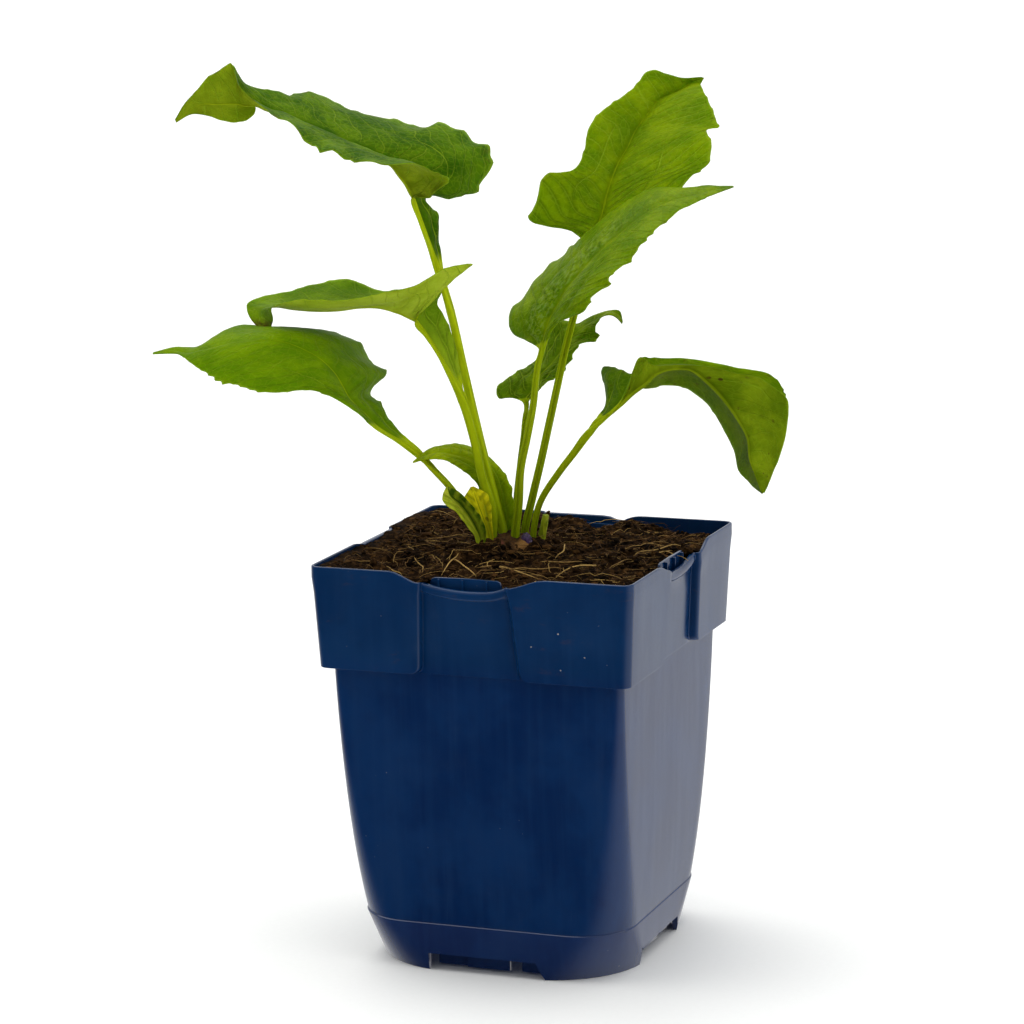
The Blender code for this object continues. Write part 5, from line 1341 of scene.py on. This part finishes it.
def build_crumbs(soil):
    """Loose crumbs of peat and bark."""
    draw = random.Random(17)
    work = bmesh.new()
    bmesh.ops.create_icosphere(work, subdivisions=1, radius=1.0)
    shape = [vertex.co.copy() for vertex in work.verts]
    ball = [[vertex.index for vertex in face.verts] for face in work.faces]
    work.free()
    heaps = [turned(along * hand(quarter), -out, quarter * math.pi / 2.0)
             for quarter in range(4) for along, out in HEAPS]
    points, faces, tints = [], [], []
    for i in range(CRUMBS):
        if i < HEAP_CRUMBS:
            x, y = heaps[i % len(heaps)]
            x, y = x + draw.uniform(-1.0, 1.0), y + draw.uniform(-1.0, 1.0)
        else:
            x, y = open_ground(draw)
        size = draw.choice(CRUMB_SIZES) * draw.uniform(0.8, 1.2)
        if beyond(x, y, 8.0):
            size = min(size, 0.9)
        turn = Matrix.Rotation(draw.uniform(0, math.tau), 3, "Z")
        turn = turn @ Matrix.Rotation(draw.uniform(-0.5, 0.5), 3, "X")
        stretch = Vector((draw.uniform(0.8, 1.6), draw.uniform(0.6, 1.0), draw.uniform(0.4, 0.8))) * size
        where = Vector((x, y, crumbly(x, y) + 0.2 * size))
        first = len(points)
        tint = draw.uniform(0.25, 0.8) if draw.random() < 0.85 else draw.uniform(0.85, 1.0)
        for corner in shape:
            bent = corner * draw.uniform(0.75, 1.15)
            points.append(where + turn @ Vector((bent.x * stretch.x, bent.y * stretch.y, bent.z * stretch.z)))
        tints += [(tint, 0.0, 0.0)] * len(shape)
        faces += [[first + i for i in face] for face in ball]
    crumbs = finish_piece("compost_crumbs", points, faces, [soil], "soil", False)
    store(crumbs.data, "tint", tints)


def bar(points, radii, sides):
    """Rings of a thin round bar along points."""
    route = [Vector(point) for point in points]
    side = Vector((1.0, 0.02, 0.1))
    rings = []
    for i, point in enumerate(route):
        ahead = (route[min(i + 1, len(route) - 1)] - route[max(i - 1, 0)]).normalized()
        side = (side - ahead * side.dot(ahead)).normalized()
        other = ahead.cross(side)
        rings.append([tuple(point + (side * math.cos(a) + other * math.sin(a)) * radii[i])
                      for a in (math.tau * k / sides for k in range(sides))])
    return rings


def straw_route(draw, start, end):
    """A slightly bent straw between two places in the plant's frame, with its ends in the compost."""
    bend = draw.uniform(-2.0, 2.0)
    dx, dy = end[0] - start[0], end[1] - start[1]
    length = math.hypot(dx, dy)
    points = []
    for step in range(13):
        share = step / 12.0
        sway = bend * math.sin(math.pi * share) + 0.25 * math.sin(9.0 * share + bend)
        x, y = turned(start[0] + dx * share - dy / length * sway, start[1] + dy * share + dx / length * sway)
        ends = 1.6 * max(0.0, 1.0 - min(share, 1.0 - share) / 0.1)
        points.append((x, y, max(soil_height(x, y) + 0.5, crumbly(x, y)) + 0.4 - ends))
    return smoothed(points)


def build_fibres():
    """Straws, roots and fine peat fibres that lie on and in the compost."""
    draw = random.Random(SOIL_SEED)
    runs = []
    for start, end, thick in STRAWS:
        route = straw_route(draw, start, end)
        runs.append((route, 0.32 * thick, draw.uniform(0.6, 1.0), 6))
    for _ in range(FIBRES):
        x, y = open_ground(draw, 3.0)
        long = draw.random() < 0.12
        length = draw.uniform(9.0, 24.0) if long else draw.uniform(2.0, 9.0)
        heading = draw.uniform(0.0, math.tau)
        curl = draw.uniform(-0.06, 0.06)
        rise = draw.uniform(-0.1, 0.35)
        route = []
        z = crumbly(x, y) + 0.1
        steps = max(int(length / 1.8), 3)
        for step in range(steps + 1):
            ground = crumbly(x, y)
            z = max(z + rise * length / steps * math.cos(math.pi * step / steps), ground - 0.1)
            if beyond(x, y, 5.0 if x < LEFT_BAND else 2.0):
                break
            route.append((x, y, min(z, ground + 3.5)))
            heading += curl * length / steps + draw.uniform(-0.15, 0.15)
            x += math.cos(heading) * length / steps
            y += math.sin(heading) * length / steps
        if len(route) > 2:
            radius = draw.uniform(0.09, 0.19) if long else draw.uniform(0.06, 0.13)
            tint = draw.uniform(0.0, 0.85) ** 1.3 + (0.1 if long else 0.0)
            runs.append((route, radius, tint, 4 if long else 3))
    points, faces, tints = [], [], []
    for route, radius, tint, sides in runs:
        radii = [radius * (0.35 + 0.65 * math.sin(math.pi * (0.08 + 0.84 * i / (len(route) - 1))))
                 for i in range(len(route))]
        faces += capped(len(route), sides, len(points))
        for ring in bar(route, radii, sides):
            points += ring
            tints += [(tint, 0.0, 0.0)] * sides
    made = finish_piece("compost_roots", points, faces, [fibre_material()], "soil")
    store(made.data, "tint", tints)


def smoothed(points):
    """The same run of points with its height evened out."""
    heights = [point[2] for point in points]
    for _ in range(2):
        between = [(a + 2.0 * b + c) / 4.0 for a, b, c in zip(heights, heights[1:], heights[2:])]
        heights = [heights[0]] + between + [heights[-1]]
    return [(x, y, max(z, old - 0.5)) for (x, y, old), z in zip(points, heights)]


def fibre_material():
    """Dry straw and roots, darker where the tint is low."""
    net = Paint("root_fibre", 0.7, Specular_IOR_Level=0.12)
    tint, _, _ = net.split(net.attribute("tint"))
    place = net.place()
    colour = net.blend(net.fade(tint, 0.0, 0.45), (0.018, 0.008, 0.003), (0.13, 0.06, 0.015))
    colour = net.over(colour, (0.66, 0.42, 0.13), net.fade(tint, 0.4, 1.0))
    colour = net.over(colour, (0.06, 0.028, 0.01), net.fade(net.noise(place, 1.7), 0.35, 0.7, 0.0, 0.5))
    net.put(Base_Color=colour, Normal=net.bump(net.noise(place, 0.35), 0.12))
    return net.material


def compost_material():
    """Peat and bark: dark brown with paler crumbs, matt and rough."""
    net = Paint("peat_compost", 0.95, Specular_IOR_Level=0.04)
    place = net.place()
    tint, _, _ = net.split(net.attribute("tint"))
    shade, warm, _ = net.split(net.cells(place, 1.9, output="Color"))
    fibre = net.noise(net.stretch(place, 0.25, 1.6, 1.0), 0.9)
    colour = net.blend(net.fade(net.noise(place, 16.0, 4.0), 0.35, 0.65), (0.003, 0.0016, 0.001),
                       (0.02, 0.0092, 0.0032))
    for mask, low, high, strength, colour_of in ((shade, 0.6, 1.0, 0.6, (0.07, 0.034, 0.011)),
                                                 (warm, 0.92, 1.0, 0.5, (0.17, 0.085, 0.028)),
                                                 (tint, 0.6, 1.0, 0.65, (0.11, 0.052, 0.016)),
                                                 (tint, 0.45, 0.2, 0.7, (0.008, 0.005, 0.003)),
                                                 (fibre, 0.6, 0.72, 0.3, (0.13, 0.066, 0.02))):
        colour = net.over(colour, colour_of, net.fade(mask, low, high, 0.0, strength))
    height = net.plus(net.noise(place, 1.1, 5.0, 0.7), net.times(net.cells(place, 1.9), -0.6))
    net.put(Base_Color=colour, Normal=net.bump(height, 0.7, 0.9))
    return net.material


# Crown, stub and bud

def build_crown():
    """A low woody knob with scars of old stalks, from its foot in the compost to its dome."""
    bump = waves(5, 6, 16.0)
    feet = [(leaf.stalk[0][:2], leaf.radius[0]) for leaf in LEAVES] + [(STUB_FOOT, 1.3), (BUD_FOOT, 2.2)]
    shoulder = CROWN_TOP - CROWN_FALL
    sides = 72
    rows = [(168.0, 0.55), (174.0, 0.86), (shoulder - 1.5, 1.0)]
    rows += [(shoulder, scale) for scale in np.linspace(0.985, 0.03, 26)]
    rings = []
    for i, (height, scale) in enumerate(rows):
        ring = []
        for k in range(sides):
            angle = math.tau * k / sides
            wobble = 1.0 + 0.05 * math.sin(3.0 * angle + 0.7) + 0.04 * math.sin(5.0 * angle + 2.0)
            x = CROWN_CENTRE[0] + CROWN_HALF[0] * scale * wobble * math.cos(angle)
            y = CROWN_CENTRE[1] + CROWN_HALF[1] * scale * wobble * math.sin(angle)
            z = height
            if i > 2:
                spot = Vector((x, y, 0.0))
                z += CROWN_FALL * (1.0 - scale ** 2) + 0.5 * bump(x, y) * (1.0 - scale)
                z += 0.9 * noise.noise(spot / 3.2) + 0.5 * noise.noise(spot / 1.2) - 0.3
                for (foot_x, foot_y), radius in feet:
                    z += 1.1 * hump(math.hypot(x - foot_x, y - foot_y) - radius, 1.1)
            ring.append((*turned(x, y), z))
        rings.append(ring)
    net = Paint("crown_bark", 0.8, Specular_IOR_Level=0.1)
    place = net.place()
    clouds = net.noise(place, 3.6, 4.0)
    colour = net.blend(net.fade(clouds, 0.35, 0.65), (0.016, 0.008, 0.0035), (0.09, 0.042, 0.013))
    colour = net.over(colour, (0.028, 0.014, 0.006), net.fade(net.noise(place, 1.3), 0.5, 0.75, 0.0, 0.7))
    for spot, reach, tan in CROWN_PATCHES:
        gap = net.vector("DISTANCE", net.stretch(place, 1.0, 1.0, 0.0), (*turned(*spot), 0.0), "Value")
        ragged = net.plus(gap, net.times(clouds, 5.0))
        colour = net.over(colour, tan, net.fade(ragged, reach + 1.5, reach + 4.0, 0.85, 0.0))
    net.put(Base_Color=colour, Normal=net.bump(net.noise(place, 0.7, 4.0, 0.7), 0.6, 0.9))
    finish_piece("crown_knob", np.concatenate(rings), capped(len(rings), sides), [net.material],
                 "crown")


def streaked(net, run, dark, light, size, fades, patch):
    """Upright streaks from dark to light, with patches of another colour."""
    place = net.place()
    streak = net.noise(net.stretch(place, 1.0, 1.0, run), 0.9)
    colour = net.blend(net.fade(streak, 0.35, 0.65), dark, light)
    colour = net.over(colour, patch, net.fade(net.noise(place, size), *fades))
    net.put(Base_Color=colour, Normal=net.bump(streak, 0.3))
    return [net.material]


def build_stub():
    """The cut stub of an old shoot, hollow in the middle of its cut."""
    route = [(*turned(STUB_FOOT[0] + dx, STUB_FOOT[1] + dy), z) for dx, dy, z in STUB_ROUTE]
    sides = 20
    rings = bar(route, STUB_RADII, sides)
    rings.append([tuple(np.array(p) * 0.3 + np.array(route[-1]) * 0.7 - np.array((0, 0, 0.25)))
                  for p in rings[-1]])
    green = streaked(Paint("stub_green", 0.5, Specular_IOR_Level=0.08), 0.12, (0.15, 0.2, 0.004),
                     (0.4, 0.45, 0.02), 1.6, (0.62, 0.75, 0.0, 0.6), (0.12, 0.07, 0.02))
    finish_piece("shoot_stub_cut", np.concatenate(rings), capped(len(rings), sides), green,
                 "shoot_stub")


def build_bud():
    """The purple bud, with the edges of its scales as low ridges that turn as they rise."""
    x, y = turned(*BUD_FOOT)
    sides = 48
    rings = []
    for share, thick in BUD_PROFILE:
        ring = []
        for k in range(sides):
            angle = math.tau * k / sides
            scale = 1.0 + 0.07 * abs(math.sin(2.5 * angle + 3.0 * share)) - 0.04
            ring.append((x + BUD_HALF[0] * thick * scale * math.cos(angle),
                         y + BUD_HALF[1] * thick * scale * math.sin(angle),
                         STALK_FOOT + (BUD_TOP - STALK_FOOT) * share))
        rings.append(ring)
    net = Paint("bud_purple", 0.48, Specular_IOR_Level=0.35, Subsurface_Weight=0.1, Subsurface_Scale=0.001)
    purple = streaked(net, 0.15, (0.02, 0.008, 0.035), (0.075, 0.035, 0.12), 2.2, (0.55, 0.7, 0.0, 0.5),
                      (0.4, 0.33, 0.4))
    finish_piece("bud_scales", np.concatenate(rings), capped(len(rings), sides), purple, "bud")


# Floor, light and camera

def build_floor():
    net = Paint("pale_floor", 0.6, Specular_IOR_Level=0.15)
    net.put(Base_Color=net.blend(net.noise(net.place(), 2.5, 2.0), FLOOR_DARK, FLOOR_LIGHT))
    mesh = bpy.data.meshes.new("floor")
    corners = [(x * FLOOR_REACH, y * FLOOR_REACH, 0.0) for x, y in ((-1, -1), (1, -1), (1, 1), (-1, 1))]
    mesh.from_pydata(corners, [], [(0, 1, 2, 3)])
    mesh.materials.append(net.material)
    floor = placed("floor", mesh)
    floor.visible_glossy = False


def build_world():
    """A white room that is dark near the floor on the side that the pot's front looks at."""
    world = bpy.data.worlds.new("studio")
    bpy.context.scene.world = world
    world.use_nodes = True
    air = Net(world.node_tree)
    ways = air.add("ShaderNodeTexCoord", output="Generated")
    _, _, rise = air.split(ways)
    front = air.vector("DOT_PRODUCT", ways, ROOM_FRONT, "Value")
    behind = air.fade(rise, 0.05, 0.5, 0.88, ROOM_TOP)
    ahead = air.fade(rise, 0.12, 0.6, 0.003, ROOM_TOP)
    background = air.tree.nodes["Background"]
    air.feed(background.inputs["Strength"], air.mix(air.fade(front, -0.3, 0.7), behind, ahead))
    background.inputs["Color"].default_value = (1.0, 1.0, 1.0, 1.0)


def build_lamps():
    for name, toward, angle, power, colour in LAMPS:
        lamp = bpy.data.lights.new(name, "SUN")
        lamp.angle = math.radians(angle)
        lamp.energy = power
        lamp.color = colour
        made = placed(name, lamp)
        made.rotation_euler = Vector(toward).to_track_quat("Z", "Y").to_euler()
        made.location = Vector(toward)


def build_camera():
    sin_yaw, cos_yaw = math.sin(CAMERA_YAW), math.cos(CAMERA_YAW)
    sin_pitch, cos_pitch = math.sin(CAMERA_PITCH), math.cos(CAMERA_PITCH)
    back = Vector((sin_yaw * cos_pitch, -cos_yaw * cos_pitch, sin_pitch))
    right = Vector((cos_yaw, sin_yaw, 0.0))
    up = back.cross(right)
    across = right * math.cos(CAMERA_ROLL) + up * math.sin(CAMERA_ROLL)
    upward_way = up * math.cos(CAMERA_ROLL) - right * math.sin(CAMERA_ROLL)
    place = Vector((0.0, 0.0, CAMERA_AIM)) + back * CAMERA_AWAY
    place = place - across * CAMERA_SIDE - upward_way * CAMERA_LIFT
    data = bpy.data.cameras.new("camera")
    data.sensor_width = SENSOR_WIDTH
    data.lens = CAMERA_FOCAL
    data.clip_end = 100.0
    camera = placed("camera", data)
    matrix = Matrix((across, upward_way, back)).transposed().to_4x4()
    matrix.translation = place * MM
    camera.matrix_world = matrix
    bpy.context.scene.camera = camera


build_pot()
build_compost()
build_crown()
build_stub()
build_bud()
for leaf in LEAVES:
    build_leaf(leaf)
build_floor()
build_world()
build_lamps()
build_camera()
bpy.context.scene.view_settings.view_transform = "Standard"
